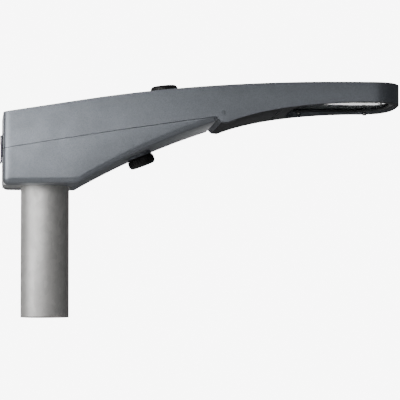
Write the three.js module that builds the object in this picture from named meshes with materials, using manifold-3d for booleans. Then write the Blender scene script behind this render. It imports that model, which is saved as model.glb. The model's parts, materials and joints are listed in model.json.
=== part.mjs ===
// Solar street lamp on the end of its pole, in millimetres.
// +X runs from the pole to the tip of the lamp head, +Y across, +Z up.
// The origin is the centre of the pole's lower cut end.
import * as THREE from 'three';
import { mergeVertices } from 'three/addons/utils/BufferGeometryUtils.js';
import Module from 'manifold-3d';

const wasm = await Module();
wasm.setup();

// ---------- driving dimensions ----------

const gap = 0.3;              // between pieces that touch
const wall = 3;               // die-cast wall
const far = 400;              // reach of a cutting block, beyond any piece

const pole = { radius: 38.05, wall: 3.2, top: 285.5 };

const rearX = -67;
const tipX = 558;
const tipStartX = 505;        // the plan outline starts to close here
const headHalfWidth = 120;
const rearPlanRadius = 10;
const rearEdgeRadius = 10;
const longEdgeRadius = 9;
const headEdgeRadius = 2;     // lower edges of the neck and head are almost sharp
const tipTopRadius = 6;
const tipPower = 2.6;         // above 2 the tip is squarer than an ellipse

const flatFloorZ = 205.5;     // underside around the pole
const rimZ = 332.8;           // lower edge of the lamp head

// Side and plan outlines, each a curve that bends once: [x, height or half width].
const roofCurve = { start: [60, 335.8], bend: [249.3, 364], end: [470, 364] };
const coverCurve = { start: [49, 206], bend: [151.6, 265.5], end: [262, 302] };
const neckCurve = { start: [280, 299.7], bend: [355.5, 329.9], end: [500, rimZ] };
const partingCurve = { start: [-67, 259.8], bend: [98, 286.7], end: [262, 308.5] };
const planCurve = { start: [-67, 91], bend: [180, 118], end: [400, headHalfWidth] };

const toe = { heel: [271, 300.5], front: [280, 299.7], roofZ: 312.5 };
const coverPin = { x: 272, z: 314.4, radius: 3, inner: 96, outer: 118 };
const coverFrontRadius = 16;  // the cover's front end is rounded about its pin
const ear = { inner: 100, outer: 106, radius: 6.5 };

const slotRadius = 43;        // opening of the cover around the pole clamp
const latchPinRadius = 1.5;
const latch = { y: 60, x: -65.5, z: 281, width: 20, radius: 3, pocketRadius: 4.7 };

const head = {                // stack behind the window of the lamp head
  frameLow: 335.8, frameHigh: 338.8, frameWidth: 7,
  glassLow: 339.1, glassHigh: 343.1,
  sealHigh: 345.4, ledgeZ: 345.7, ledgeWidth: 5,
  lensLow: 347.5, lensHigh: 349.6, boardLow: 351, boardHigh: 352.6, ceilingZ: 353,
};
const panel = { rear: 226, front: 526, halfWidth: 98, corner: 20, recess: 4.2, sink: 0.6, thick: 3 };
const neckLid = { rear: 296, front: 366, margin: 10, sink: 0.8, thick: 2.4 };
const tray = { x: 52, z: 284, tilt: 8, length: 188, halfWidth: 91, thick: 1.5 };
const cell = { radius: 16, length: 70, pitch: 34, firstX: 19, z: 19.8 };
const boss = { boltRadius: 9, boltTop: 345, trayRadius: 5.5, trayTop: 70 };
const socket = { flange: 16.5, body: 13, depth: 14, seal: 20.5, boss: 19.5 };
const topSocket = { x: 189 };
const lowSocket = { x: 149.5, standOff: 4.4, flatten: 4, bossHeight: 6.6 };

// ---------- small tools ----------

const degrees = (value) => value * Math.PI / 180;

function solidOf(geometry) {
  const plain = geometry.index ? geometry.toNonIndexed() : geometry.clone();
  plain.deleteAttribute('normal');
  plain.deleteAttribute('uv');
  const merged = mergeVertices(plain, 1e-4);
  return new wasm.Manifold(new wasm.Mesh({
    numProp: 3,
    vertProperties: new Float32Array(merged.attributes.position.array),
    triVerts: new Uint32Array(merged.index.array),
  }));
}

function geometryOf(solid) {
  const mesh = solid.getMesh();
  const geometry = new THREE.BufferGeometry();
  geometry.setAttribute('position', new THREE.BufferAttribute(new Float32Array(mesh.vertProperties), 3));
  geometry.setIndex(new THREE.BufferAttribute(new Uint32Array(mesh.triVerts), 1));
  return geometry;
}

const joined = (...solids) => solids.reduce((sum, solid) => sum.add(solid));

function shapeOf(points) {
  return new THREE.Shape(points.map(([x, y]) => new THREE.Vector2(x, y)));
}

// A shape drawn in X and Z, pushed through from y0 to y1.
function acrossY(shape, y0, y1, curveSegments = 8) {
  const geometry = new THREE.ExtrudeGeometry(shape, { depth: y1 - y0, bevelEnabled: false, curveSegments });
  geometry.rotateX(Math.PI / 2);
  geometry.translate(0, y1, 0);
  return solidOf(geometry);
}

// A shape drawn in X and Y, raised from z0 to z1.
function upZ(shape, z0, z1, curveSegments = 8) {
  const geometry = new THREE.ExtrudeGeometry(shape, { depth: z1 - z0, bevelEnabled: false, curveSegments });
  geometry.translate(0, 0, z0);
  return solidOf(geometry);
}

function block(x0, x1, y0, y1, z0, z1) {
  const geometry = new THREE.BoxGeometry(x1 - x0, y1 - y0, z1 - z0);
  geometry.translate((x0 + x1) / 2, (y0 + y1) / 2, (z0 + z1) / 2);
  return solidOf(geometry);
}

function rodZ(radius, x, y, z0, z1, sides = 16, topRadius = radius) {
  const geometry = new THREE.CylinderGeometry(topRadius, radius, z1 - z0, sides);
  geometry.rotateX(Math.PI / 2);
  geometry.translate(x, y, (z0 + z1) / 2);
  return solidOf(geometry);
}

function rodY(radius, x, z, y0, y1, sides = 16) {
  const geometry = new THREE.CylinderGeometry(radius, radius, y1 - y0, sides);
  geometry.translate(x, (y0 + y1) / 2, z);
  return solidOf(geometry);
}

function rodX(radius, x0, x1, y, z, sides = 16) {
  const geometry = new THREE.CylinderGeometry(radius, radius, x1 - x0, sides);
  geometry.rotateZ(Math.PI / 2);
  geometry.translate((x0 + x1) / 2, y, z);
  return solidOf(geometry);
}

// Height on a once-bent curve at x; past its ends it runs on straight.
function heightOn({ start, bend, end }, x) {
  if (x <= start[0]) {
    return start[1] + (x - start[0]) * (bend[1] - start[1]) / (bend[0] - start[0]);
  }
  if (x >= end[0]) {
    return end[1] + (x - end[0]) * (end[1] - bend[1]) / (end[0] - bend[0]);
  }
  const a = start[0] - 2 * bend[0] + end[0];
  const b = 2 * (bend[0] - start[0]);
  const c = start[0] - x;
  const t = Math.abs(a) < 1e-9 ? -c / b : (-b + Math.sqrt(b * b - 4 * a * c)) / (2 * a);
  return (1 - t) ** 2 * start[1] + 2 * t * (1 - t) * bend[1] + t * t * end[1];
}

const between = (a, b, x) => a[1] + (b[1] - a[1]) * (x - a[0]) / (b[0] - a[0]);

// How far a corner of this radius has pulled in, at a distance from its end.
function roundOff(distance, radius) {
  if (distance >= radius) {
    return 0;
  }
  const rest = radius - Math.max(distance, 0);
  return radius - Math.sqrt(radius * radius - rest * rest);
}

// ---------- outer form of the lamp ----------

function roofAt(x) {
  return Math.min(heightOn(roofCurve, x), roofCurve.end[1]) - roundOff(tipX - x, tipTopRadius);
}

function floorAt(x) {
  if (x < coverCurve.start[0]) {
    return flatFloorZ;
  }
  if (x < coverCurve.end[0]) {
    return heightOn(coverCurve, x);
  }
  if (x < toe.heel[0]) {
    return between(coverCurve.end, toe.heel, x);
  }
  if (x < toe.front[0]) {
    return between(toe.heel, toe.front, x);
  }
  return x < neckCurve.end[0] ? heightOn(neckCurve, x) : rimZ;
}

function halfWidthAt(x) {
  if (x <= tipStartX) {
    return Math.min(heightOn(planCurve, x), headHalfWidth);
  }
  const along = (x - tipStartX) / (tipX - tipStartX);
  return headHalfWidth * (1 - along ** tipPower) ** (1 / tipPower);
}

// One rounded rectangle across the lamp at x, as a ring of points.
function sectionAt(x, form) {
  const fromEnd = x - form.from;
  const half = halfWidthAt(x) - form.side - roundOff(fromEnd, rearPlanRadius - form.side);
  const top = roofAt(x) - form.roof - roundOff(fromEnd, rearEdgeRadius - form.side);
  const low = floorAt(x) + form.floor + roundOff(fromEnd, rearEdgeRadius - form.side);
  const topRadius = Math.min(longEdgeRadius - form.side, (top - low) / 2 - 0.5, half - 0.5);
  const sharpest = 0.6;
  const rimRadius = Math.min(topRadius, Math.max(headEdgeRadius - form.side, sharpest));
  const lowRadius = x < toe.heel[0] ? topRadius : rimRadius;
  const steps = 2;
  const ring = [];
  const corners = [[1, 1, 0], [-1, 1, 90], [-1, -1, 180], [1, -1, 270]];
  for (const [sideY, sideZ, startAngle] of corners) {
    const radius = sideZ > 0 ? topRadius : lowRadius;
    for (let step = 0; step <= steps; step++) {
      const angle = degrees(startAngle + 90 * step / steps);
      const y = sideY * (half - radius) + radius * Math.cos(angle);
      const z = (sideZ > 0 ? top - radius : low + radius) + radius * Math.sin(angle);
      ring.push(new THREE.Vector3(x, y, z));
    }
  }
  return ring;
}

// Stations along the lamp: close together round the rear end, the kinks and the tip.
function stationsOf(from, to) {
  const found = [];
  for (const angle of [0, 30, 55, 90]) {
    found.push(from + rearPlanRadius * (1 - Math.cos(degrees(angle))));
  }
  const spacing = 32;
  for (let x = from + rearPlanRadius + spacing; x < Math.min(to, tipStartX); x += spacing) {
    found.push(x);
  }
  found.push(coverCurve.start[0], coverCurve.end[0], toe.heel[0], toe.front[0], tipStartX);
  for (const angle of [22, 42, 60, 74, 84]) {
    found.push(tipStartX + (tipX - tipStartX) * Math.sin(degrees(angle)));
  }
  const inside = found.filter((x) => x >= from && x < to - 4 || x > tipX - 6 && to === tipX);
  return to === tipX ? [...new Set(inside)].sort((a, b) => a - b) : [...inside.sort((a, b) => a - b), to];
}

// The lamp's whole form between two x positions, pulled in by side, roof and floor.
function lampForm({ side = 0, roof = 0, floor = 0, from = rearX, to = tipX }) {
  const rings = stationsOf(from, to).map((x) => sectionAt(x, { side, roof, floor, from }));
  const count = rings[0].length;
  const positions = [];
  const corner = (a, b, c) => positions.push(...a.toArray(), ...b.toArray(), ...c.toArray());
  for (let i = 0; i + 1 < rings.length; i++) {
    for (let j = 0; j < count; j++) {
      const next = (j + 1) % count;
      corner(rings[i][j], rings[i][next], rings[i + 1][next]);
      corner(rings[i][j], rings[i + 1][next], rings[i + 1][j]);
    }
  }
  const last = rings[rings.length - 1];
  for (let j = 1; j + 1 < count; j++) {
    corner(rings[0][0], rings[0][j + 1], rings[0][j]);
    corner(last[0], last[j], last[j + 1]);
  }
  const geometry = new THREE.BufferGeometry();
  geometry.setAttribute('position', new THREE.Float32BufferAttribute(positions, 3));
  return solidOf(geometry);
}

// Outline that starts along the parting line, moved up by offset; closeAt ends it with further points.
function partingOutline(offset, from, closeAt) {
  const { start, bend, end } = partingCurve;
  const shape = new THREE.Shape();
  shape.moveTo(from, heightOn(partingCurve, from) + offset);
  shape.lineTo(start[0], start[1] + offset);
  shape.quadraticCurveTo(bend[0], bend[1] + offset, end[0], end[1] + offset);
  for (const [x, z] of closeAt) {
    shape.lineTo(x, z);
  }
  return shape;
}

// Outline of the window in the lamp head, grown outwards by a few millimetres.
function windowShape(grow) {
  const centreX = 468;
  const halfLength = 84;
  const halfWidth = 108;
  const scaleX = (halfLength + grow) / halfLength;
  const scaleY = (halfWidth + grow) / halfWidth;
  const at = (x, y) => [centreX + (x - centreX) * scaleX, y * scaleY];
  const shape = new THREE.Shape();
  shape.moveTo(...at(384, 0));
  shape.quadraticCurveTo(...at(384, 104), ...at(404, 107));
  shape.lineTo(...at(494, 108));
  shape.bezierCurveTo(...at(522, 108), ...at(551, 86), ...at(551, 0));
  shape.bezierCurveTo(...at(551, -86), ...at(522, -108), ...at(494, -108));
  shape.lineTo(...at(404, -107));
  shape.quadraticCurveTo(...at(384, -104), ...at(384, 0));
  return shape;
}

function roundedRectangle(x0, x1, halfWidth, corner) {
  const shape = new THREE.Shape();
  shape.moveTo(x0 + corner, -halfWidth);
  shape.lineTo(x1 - corner, -halfWidth);
  shape.absarc(x1 - corner, -halfWidth + corner, corner, -Math.PI / 2, 0);
  shape.absarc(x1 - corner, halfWidth - corner, corner, 0, Math.PI / 2);
  shape.absarc(x0 + corner, halfWidth - corner, corner, Math.PI / 2, Math.PI);
  shape.absarc(x0 + corner, -halfWidth + corner, corner, Math.PI, Math.PI * 1.5);
  return shape;
}

function ring(outer, inner, z0, z1) {
  return upZ(outer, z0, z1).subtract(upZ(inner, z0 - 1, z1 + 1));
}

// ---------- materials and nodes ----------

const finishes = {
  bodyPaint: [0x8b929b, 0.5, 0.35],
  darkPaint: [0x3a3d3e, 0.6, 0.2],
  galvanised: [0xa9aaa6, 0.5, 0.85],
  castAlloy: [0x9fa2a4, 0.55, 0.8],
  steel: [0xb9bbbd, 0.35, 1.0],
  blackPlastic: [0x17181a, 0.6, 0.0],
  greyPlastic: [0x5b5f63, 0.6, 0.0],
  rubber: [0x1d1d1e, 0.85, 0.0],
  glass: [0xcfd8da, 0.06, 0.0],
  lens: [0xe6ebed, 0.15, 0.0],
  board: [0xe9ebe8, 0.5, 0.1],
  greenBoard: [0x1f5a3c, 0.5, 0.1],
  solar: [0x11182b, 0.25, 0.1],
  cellWrap: [0x2b6fae, 0.45, 0.0],
  cable: [0x202124, 0.6, 0.0],
};

const lamp = new THREE.Group();

function place(name, solid, finish, parent = lamp) {
  const [color, roughness, metalness] = finishes[finish];
  const material = new THREE.MeshStandardMaterial({ color, roughness, metalness });
  const mesh = new THREE.Mesh(geometryOf(solid), material);
  mesh.name = name;
  parent.add(mesh);
  return mesh;
}

const sides = [['left', -1], ['right', 1]];

// ---------- pole and clamp ----------

function poleSection() {
  const tube = rodZ(pole.radius, 0, 0, 0, pole.top, 40);
  return tube.subtract(rodZ(pole.radius - pole.wall, 0, 0, -1, pole.top + 1, 40));
}

const clamp = { top: 292, flangeLow: 284, stopZ: 286, boreRadius: pole.radius + gap, rearLowTop: 258.5 };
const clampBore = { passRadius: 14, low: 200 };
const clampBolts = [[-48, 54], [-48, -54], [36, 56], [36, -56]];
const clampBolt = { radius: 4, headRadius: 6.5, head: 6, top: 307 };

// The casting that grips the pole; its lower rear face closes the slot of the cover.
function poleClamp() {
  const radius = slotRadius - 0.7;
  const plan = (rear) => {
    const shape = new THREE.Shape();
    shape.moveTo(rear, -radius);
    shape.lineTo(0, -radius);
    shape.absarc(0, 0, radius, -Math.PI / 2, Math.PI / 2);
    shape.lineTo(rear, radius);
    return shape;
  };
  const flange = roundedRectangle(-57, 47, 66, 8);
  let solid = joined(
    upZ(plan(rearX + 0.2), flatFloorZ + 0.4, clamp.rearLowTop, 10),
    upZ(plan(-57), clamp.rearLowTop - 1, clamp.flangeLow + 1, 10),
    upZ(flange, clamp.flangeLow, clamp.top),
  );
  solid = solid.subtract(rodZ(clamp.boreRadius, 0, 0, clampBore.low, clamp.stopZ, 40));
  solid = solid.subtract(rodZ(clampBore.passRadius, 0, 0, clamp.stopZ - 1, clamp.top + 1));
  for (const [x, y] of clampBolts) {
    solid = solid.subtract(rodZ(clampBolt.radius + gap, x, y, clamp.flangeLow - 1, clamp.top + 1));
  }
  for (const screw of gripScrews) {
    solid = solid.subtract(rodX(gripScrew.radius + gap, -80, -35, 0, screw.z));
    if (screw.headX > rearX) {
      solid = solid.subtract(rodX(gripScrew.headRadius + 1, -80, screw.headX + 6 + gap, 0, screw.z));
    }
  }
  return solid;
}

// Two set screws press the pole forwards from the rear.
const gripScrew = { radius: 5, headRadius: 7.5, tipX: -38.6 };
const gripScrews = [
  { name: 'grip_screw_upper', z: 279, headX: -71 },
  { name: 'grip_screw_lower', z: 232, headX: -66 },
];

function gripScrewSolid({ z, headX }) {
  const head = rodX(gripScrew.headRadius, headX, headX + 3.6, 0, z, 6);
  const shank = rodX(gripScrew.radius, headX + 3, gripScrew.tipX, 0, z);
  return head.add(shank).subtract(rodX(3.2, headX - 1, headX + 2.2, 0, z, 6));
}

function hexBolt(x, y, headLow, bolt) {
  const head = rodZ(bolt.headRadius, x, y, headLow, headLow + bolt.head, 6);
  return head.add(rodZ(bolt.radius, x, y, headLow + bolt.head - 0.5, bolt.top));
}

// ---------- gear tray and what it carries, in its own tilted frame ----------

const trayGroup = new THREE.Group();
trayGroup.position.set(tray.x, 0, tray.z);
trayGroup.rotation.y = -degrees(tray.tilt);
lamp.add(trayGroup);
trayGroup.updateMatrixWorld(true);

const trayCorners = [[8, 85], [8, -85], [176, 85], [176, -85]];
const trayScrew = { radius: 2, headRadius: 4, head: 2.6, top: 13 };

// A rod that stands on the tray, given back in the lamp's own frame.
function rodOnTray(radius, x, y, z0, z1, sideCount = 16) {
  const geometry = new THREE.CylinderGeometry(radius, radius, z1 - z0, sideCount);
  geometry.rotateX(Math.PI / 2);
  geometry.translate(x, y, (z0 + z1) / 2);
  geometry.applyMatrix4(trayGroup.matrixWorld);
  return solidOf(geometry);
}

// ---------- upper housing ----------

// Everything above the parting line, and all of the neck and head in front of the toe.
function housingRegion() {
  const shape = partingOutline(0.5, rearX - 20, [
    toe.heel, [toe.heel[0], 100], [far * 2, 100], [far * 2, far * 2], [rearX - 20, far * 2],
  ]);
  return acrossY(shape, -far, far, 12);
}

// The hollow may go everywhere but into the toe that carries the hinge pins.
function cavityRegion() {
  const shape = shapeOf([
    [-far, 100], [256, 100], [256, toe.roofZ], [291, toe.roofZ], [291, 100],
    [far * 2, 100], [far * 2, far * 2], [-far, far * 2],
  ]);
  return acrossY(shape, -far, far);
}

function housingBosses(inside) {
  const columns = [];
  for (const [x, y] of clampBolts) {
    columns.push(rodZ(boss.boltRadius, x, y, clamp.top + gap, boss.boltTop, 16));
  }
  for (const [x, y] of trayCorners) {
    columns.push(rodOnTray(boss.trayRadius, x, y, tray.thick + gap, boss.trayTop));
  }
  for (const [, side] of sides) {
    const y0 = side * latch.y - latch.width / 2 - 5;
    columns.push(block(rearX + 1, -57.5, y0, y0 + latch.width + 10, latch.z - 9, latch.z + 8));
  }
  return joined(...columns).intersect(inside);
}

function upperHousing() {
  const splitX = 214;
  const rearCavity = lampForm({ side: wall, roof: wall, floor: wall, from: rearX + wall, to: splitX + 1 });
  const neckCavity = lampForm({ side: wall, roof: panel.recess + wall, floor: wall, from: 100, to: 374 })
    .subtract(block(0, splitX, -200, 200, 0, 500));
  const cavity = joined(rearCavity, neckCavity).intersect(cavityRegion());
  let solid = lampForm({}).intersect(housingRegion()).subtract(cavity);
  solid = solid.add(housingBosses(lampForm({ side: 1, roof: 1, floor: 0, from: rearX + 1, to: 260 })));
  solid = solid.subtract(upZ(windowShape(0), 300, head.ledgeZ));
  solid = solid.subtract(upZ(windowShape(-head.ledgeWidth), 300, head.ceilingZ));
  solid = solid.subtract(block(360, 392, -7, 7, 345.6, 352));
  solid = solid.subtract(panelSlab(-0.4, panel.recess, -5));
  solid = solid.subtract(rodZ(6, 300, 0, 330, 370));
  solid = solid.subtract(neckLidPrism(0));
  solid = solid.subtract(socketCut(topSocketFrame));
  for (const [x, y] of clampBolts) {
    solid = solid.subtract(rodZ(clampBolt.radius + gap, x, y, clamp.top - 1, clampBolt.top + 1));
  }
  for (const [x, y] of trayCorners) {
    solid = solid.subtract(rodOnTray(trayScrew.radius + gap, x, y, 0, trayScrew.top + 1));
  }
  for (const { x, y } of frameScrews) {
    solid = solid.subtract(rodZ(frameScrew.radius + gap, x, y, 300, frameScrew.top + 1, 12));
    solid = solid.subtract(rodZ(frameScrew.tabRadius + gap, x, y, 300, head.frameHigh + gap, 12));
  }
  solid = solid.subtract(rodX(gripScrew.radius + gap, -80, -50, 0, gripScrews[0].z));
  for (const [, side] of sides) {
    const reach = [side * coverPin.inner, side * (coverPin.outer + 10)].sort((a, b) => a - b);
    const slot = [side * (ear.inner - 1.5), side * (ear.outer + 1.5)].sort((a, b) => a - b);
    solid = solid.subtract(rodY(coverPin.radius + gap, coverPin.x, coverPin.z, ...reach, 16));
    solid = solid.subtract(block(250, 294, ...slot, 290, toe.roofZ + 1));
    const y0 = side * latch.y - latch.width / 2 - gap;
    const pocket = rodY(latch.pocketRadius, latch.x, latch.z, y0, y0 + latch.width + 2 * gap, 16);
    const pin = rodY(latchPinRadius + gap, latch.x, latch.z, y0 - 4, y0 + latch.width + 2 * gap + 4, 12);
    solid = solid.subtract(pocket).subtract(pin);
  }
  return solid;
}

// ---------- lower cover ----------

// Everything under the parting line, cut back round the hinge pin at the front.
function coverRegion() {
  const shape = partingOutline(-0.3, rearX - 20, [[partingCurve.end[0], 150], [rearX - 20, 150]]);
  const front = rodY(coverFrontRadius, coverPin.x, coverPin.z, -far, far, 48);
  return acrossY(shape, -far, far, 12).subtract(front);
}

// Arm from the cover's front corner up to its hinge pin.
function coverEar(side) {
  const shape = new THREE.Shape();
  const { x, z } = coverPin;
  shape.moveTo(232, 295);
  shape.lineTo(252, 300.5);
  shape.lineTo(x + ear.radius * Math.cos(degrees(285)), z + ear.radius * Math.sin(degrees(285)));
  shape.absarc(x, z, ear.radius, degrees(285), degrees(115));
  shape.lineTo(246, heightOn(partingCurve, 246) - 0.3);
  shape.lineTo(232, heightOn(partingCurve, 232) - 0.3);
  const y = [side * ear.inner, side * ear.outer].sort((a, b) => a - b);
  return acrossY(shape, ...y, 6).subtract(rodY(coverPin.radius + gap, x, z, -far, far, 16));
}

function lowerCover() {
  const inner = lampForm({ side: wall, roof: wall, floor: wall, from: rearX + wall, to: 253 });
  let solid = lampForm({}).intersect(coverRegion()).subtract(inner);
  const slot = new THREE.Shape();
  slot.moveTo(rearX - 20, -slotRadius);
  slot.lineTo(0, -slotRadius);
  slot.absarc(0, 0, slotRadius, -Math.PI / 2, Math.PI / 2);
  slot.lineTo(rearX - 20, slotRadius);
  solid = solid.subtract(upZ(slot, 150, 330, 10));
  solid = solid.add(socketBoss(lowSocketFrame)).subtract(socketCut(lowSocketFrame));
  for (const [, side] of sides) {
    const y0 = side * latch.y - 7;
    solid = solid.add(coverEar(side)).subtract(block(-80, -60, y0, y0 + 14, 247.3, 252.6));
  }
  return solid;
}

// Soft strip in the joint between housing and cover; it runs down both sides and along the rear.
function coverSeal() {
  const sideIn = wall + gap;
  const outer = lampForm({ side: sideIn, roof: wall, floor: wall, from: rearX + sideIn, to: 250 });
  const inner = lampForm({ side: sideIn + 2.6, roof: wall, floor: wall, from: rearX + sideIn + 2.6, to: 251 });
  const above = (offset) => {
    const outline = partingOutline(offset, rearX - 20, [[far, far], [rearX - 20, far]]);
    return acrossY(outline, -far, far, 12);
  };
  return outer.subtract(inner).intersect(above(0.6)).subtract(above(3.2));
}

// ---------- hinge pins and latches ----------

function hingePin(side) {
  const { x, z, radius, inner, outer } = coverPin;
  const y = [side * inner, side * (outer - 0.5)].sort((a, b) => a - b);
  const headY = [side * (outer - 0.8), side * outer].sort((a, b) => a - b);
  return rodY(radius, x, z, ...y, 16).add(rodY(radius + 0.7, x, z, ...headY, 16));
}

function latchLever(side) {
  const y0 = side * latch.y - latch.width / 2;
  const y1 = y0 + latch.width;
  const blade = shapeOf([
    [latch.x, latch.z - 2.6], [latch.x, latch.z + 0.8], [-69.4, latch.z + 0.8], [-69.6, 252],
    [-71.4, 246], [-70, 245.2], [-67.9, 248.4], [-65.2, 248.4], [-65.2, 250.6],
    [-67.4, 250.6], [-67.4, latch.z - 4.2],
  ]);
  return acrossY(blade, y0, y1)
    .subtract(block(-67.4, -60, y0 - 1, side * latch.y - 6, 240, 260))
    .subtract(block(-67.4, -60, side * latch.y + 6, y1 + 1, 240, 260))
    .add(rodY(latch.radius, latch.x, latch.z, y0, y1))
    .subtract(rodY(latchPinRadius + gap, latch.x, latch.z, y0 - 1, y1 + 1, 12));
}

function latchPin(side) {
  return rodY(latchPinRadius, latch.x, latch.z, side * latch.y - 13.5, side * latch.y + 13.5, 12);
}

// ---------- sensor sockets and their caps ----------

// Frame of a socket: origin at x, standing off the surface, local +Z pointing outwards.
function surfaceFrame(x, heightAt, outward, standOff = 0, flatten = 0) {
  const slope = Math.atan((heightAt(x + 1) - heightAt(x - 1)) / 2) - degrees(flatten);
  const group = new THREE.Group();
  group.position.set(x, 0, heightAt(x) + outward * standOff);
  group.rotation.y = outward > 0 ? -slope : Math.PI - slope;
  lamp.add(group);
  group.updateMatrixWorld(true);
  return group;
}

const topSocketFrame = surfaceFrame(topSocket.x, roofAt, 1);
const lowSocketFrame = surfaceFrame(lowSocket.x, floorAt, -1, lowSocket.standOff, lowSocket.flatten);

// Round boss under the low socket, which stands less steeply than the cover does.
function socketBoss(frame) {
  const geometry = new THREE.CylinderGeometry(socket.boss, socket.boss, lowSocket.bossHeight, 24);
  geometry.rotateX(Math.PI / 2);
  geometry.translate(0, 0, gap - lowSocket.bossHeight / 2);
  geometry.applyMatrix4(frame.matrixWorld);
  return solidOf(geometry);
}

function socketCut(frame) {
  const geometry = new THREE.CylinderGeometry(socket.body + gap, socket.body + gap, 24, 24);
  geometry.rotateX(Math.PI / 2);
  geometry.applyMatrix4(frame.matrixWorld);
  return solidOf(geometry);
}

function turned(profile, segments) {
  const geometry = new THREE.LatheGeometry(profile.map(([r, z]) => new THREE.Vector2(r, z)), segments);
  geometry.rotateX(Math.PI / 2);
  return solidOf(geometry);
}

function socketSeal() {
  const inner = socket.body + 0.6;
  return turned([[inner, 0.6], [socket.seal, 0.6], [socket.seal, 2.2], [inner, 2.2], [inner, 0.6]], 24);
}

function socketBody() {
  const { body, depth, flange } = socket;
  const base = turned([[0, -depth], [body, -depth], [body, 2.5], [flange, 2.5], [flange, 6], [0, 6]], 24);
  const contacts = [0, 90, 180, 270].map((angle) => rodZ(2.2, 7.5 * Math.cos(degrees(angle)),
    7.5 * Math.sin(degrees(angle)), 3.5, 7, 12));
  return base.subtract(joined(...contacts));
}

// Twist-on dust cap with a ribbed rim.
function socketCap() {
  const cup = turned([[17.4, 2.6], [20.6, 2.6], [20.6, 12.4], [19, 14.6], [0, 15.6], [0, 7.2], [17.4, 7.2],
    [17.4, 2.6]], 20);
  const ribCount = 20;
  const ribs = [];
  for (let i = 0; i < ribCount; i++) {
    const geometry = new THREE.BoxGeometry(2.2, 2.6, 9.2);
    geometry.translate(20.35, 0, 7.4);
    geometry.rotateZ(2 * Math.PI * i / ribCount);
    ribs.push(solidOf(geometry));
  }
  return joined(cup, ...ribs);
}

// ---------- lamp head ----------

// The front screws have tall heads that stand just proud of the rim.
const frameScrew = { radius: 1.6, headRadius: 3.2, tabRadius: 4.2, top: 346 };
const frameScrews = [
  { x: 412, y: 109.8, headLow: 333 }, { x: 412, y: -109.8, headLow: 333 },
  { x: 519, y: 103.2, headLow: 330.4 }, { x: 519, y: -103.2, headLow: 330.4 },
];

function glassFrame() {
  let solid = ring(windowShape(-0.4), windowShape(-head.frameWidth), head.frameLow, head.frameHigh);
  for (const { x, y } of frameScrews) {
    solid = solid.add(rodZ(frameScrew.tabRadius, x, y, head.frameLow, head.frameHigh, 12));
  }
  for (const { x, y } of frameScrews) {
    solid = solid.subtract(rodZ(frameScrew.radius + gap, x, y, 330, 350, 12));
  }
  return solid;
}

function frameScrewSolid({ x, y, headLow }) {
  return rodZ(frameScrew.headRadius, x, y, headLow, head.frameLow - gap, 12)
    .add(rodZ(frameScrew.radius, x, y, headLow + 1, frameScrew.top, 12));
}

function lensPlate() {
  const plate = upZ(windowShape(-head.ledgeWidth - 4), head.lensLow, head.lensHigh);
  const dome = { tipRadius: 5.5, footRadius: 9, sides: 8, height: 3 };
  const domes = ledPlaces.map(([x, y]) =>
    rodZ(dome.tipRadius, x, y, head.lensLow - dome.height, head.lensLow + 0.5, dome.sides, dome.footRadius));
  return joined(plate, ...domes);
}

const ledPlaces = [];
for (let x = 420; x <= 530; x += 27.5) {
  const reach = x < 440 ? 1 : x < 470 || x > 520 ? 2 : 3;
  for (let row = -reach; row < reach; row++) {
    ledPlaces.push([x, (row + 0.5) * 27]);
  }
}

function ledBoard() {
  const plate = upZ(windowShape(-head.ledgeWidth - 5), head.boardLow, head.boardHigh);
  return joined(plate, ...ledPlaces.map(([x, y]) =>
    block(x - 1.75, x + 1.75, y - 1.75, y + 1.75, head.boardLow - 0.9, head.boardLow + 0.3)));
}

// ---------- solar panel ----------

// The slab of the roof between two depths, cut to the panel's outline.
function panelSlab(shrink, deep, high) {
  const { rear, front, halfWidth, corner } = panel;
  const outline = roundedRectangle(rear + shrink, front - shrink, halfWidth - shrink, corner);
  const top = lampForm({ roof: high }).subtract(lampForm({ roof: deep }));
  return top.intersect(upZ(outline, 340, 380));
}

function panelBed() {
  const width = 7;
  const { rear, front, halfWidth, corner } = panel;
  const inner = roundedRectangle(rear + width, front - width, halfWidth - width, corner - 5);
  return panelSlab(gap, panel.recess - 0.15, panel.recess - 0.5).subtract(upZ(inner, 330, 380));
}

// ---------- lid under the neck ----------

function neckLidShape(shrink) {
  const { rear, front, margin } = neckLid;
  const half = (x) => halfWidthAt(x) - margin - shrink;
  const [x0, x1] = [rear + shrink, front - shrink];
  return shapeOf([[x0, -half(x0)], [x1, -half(x1)], [x1, half(x1)], [x0, half(x0)]]);
}

function neckLidPrism(shrink) {
  return upZ(neckLidShape(shrink), 290, 332);
}

function neckLidSolid() {
  const slab = lampForm({ floor: neckLid.sink }).subtract(lampForm({ floor: neckLid.sink + neckLid.thick }));
  return slab.intersect(neckLidPrism(gap + 0.1));
}

// ---------- cables held inside ----------

function cable(points, radius) {
  const path = new THREE.CatmullRomCurve3(points.map((point) => new THREE.Vector3(...point)));
  const section = shapeOf([0, 1, 2, 3, 4, 5, 6, 7].map((i) => [
    radius * Math.cos(degrees(45 * i)), radius * Math.sin(degrees(45 * i))]));
  const steps = Math.round(path.getLength() / (radius * 5));
  return solidOf(new THREE.ExtrudeGeometry(section, { steps, extrudePath: path, bevelEnabled: false }));
}

const ledLead = [
  [243, 12, 325], [256, 14, 326], [275, 14, 326], [300, 14, 326], [322, 13, 329], [340, 9, 338],
  [354, 4, 345.5], [368, 0, 348.7], [381, 0, 348.7],
];
const panelLead = [[243, -12, 325], [256, -14, 327], [266, -11, 333], [273, -8, 336.6], [279.2, -8, 337]];

// ---------- assembly ----------

place('pole', poleSection(), 'galvanised');
place('pole_clamp', poleClamp(), 'castAlloy');
for (const screw of gripScrews) {
  place(screw.name, gripScrewSolid(screw), 'steel');
}
clampBolts.forEach(([x, y], index) => {
  place(`clamp_bolt_${index + 1}`, hexBolt(x, y, clamp.flangeLow - gap - clampBolt.head, clampBolt), 'steel');
});

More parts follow.
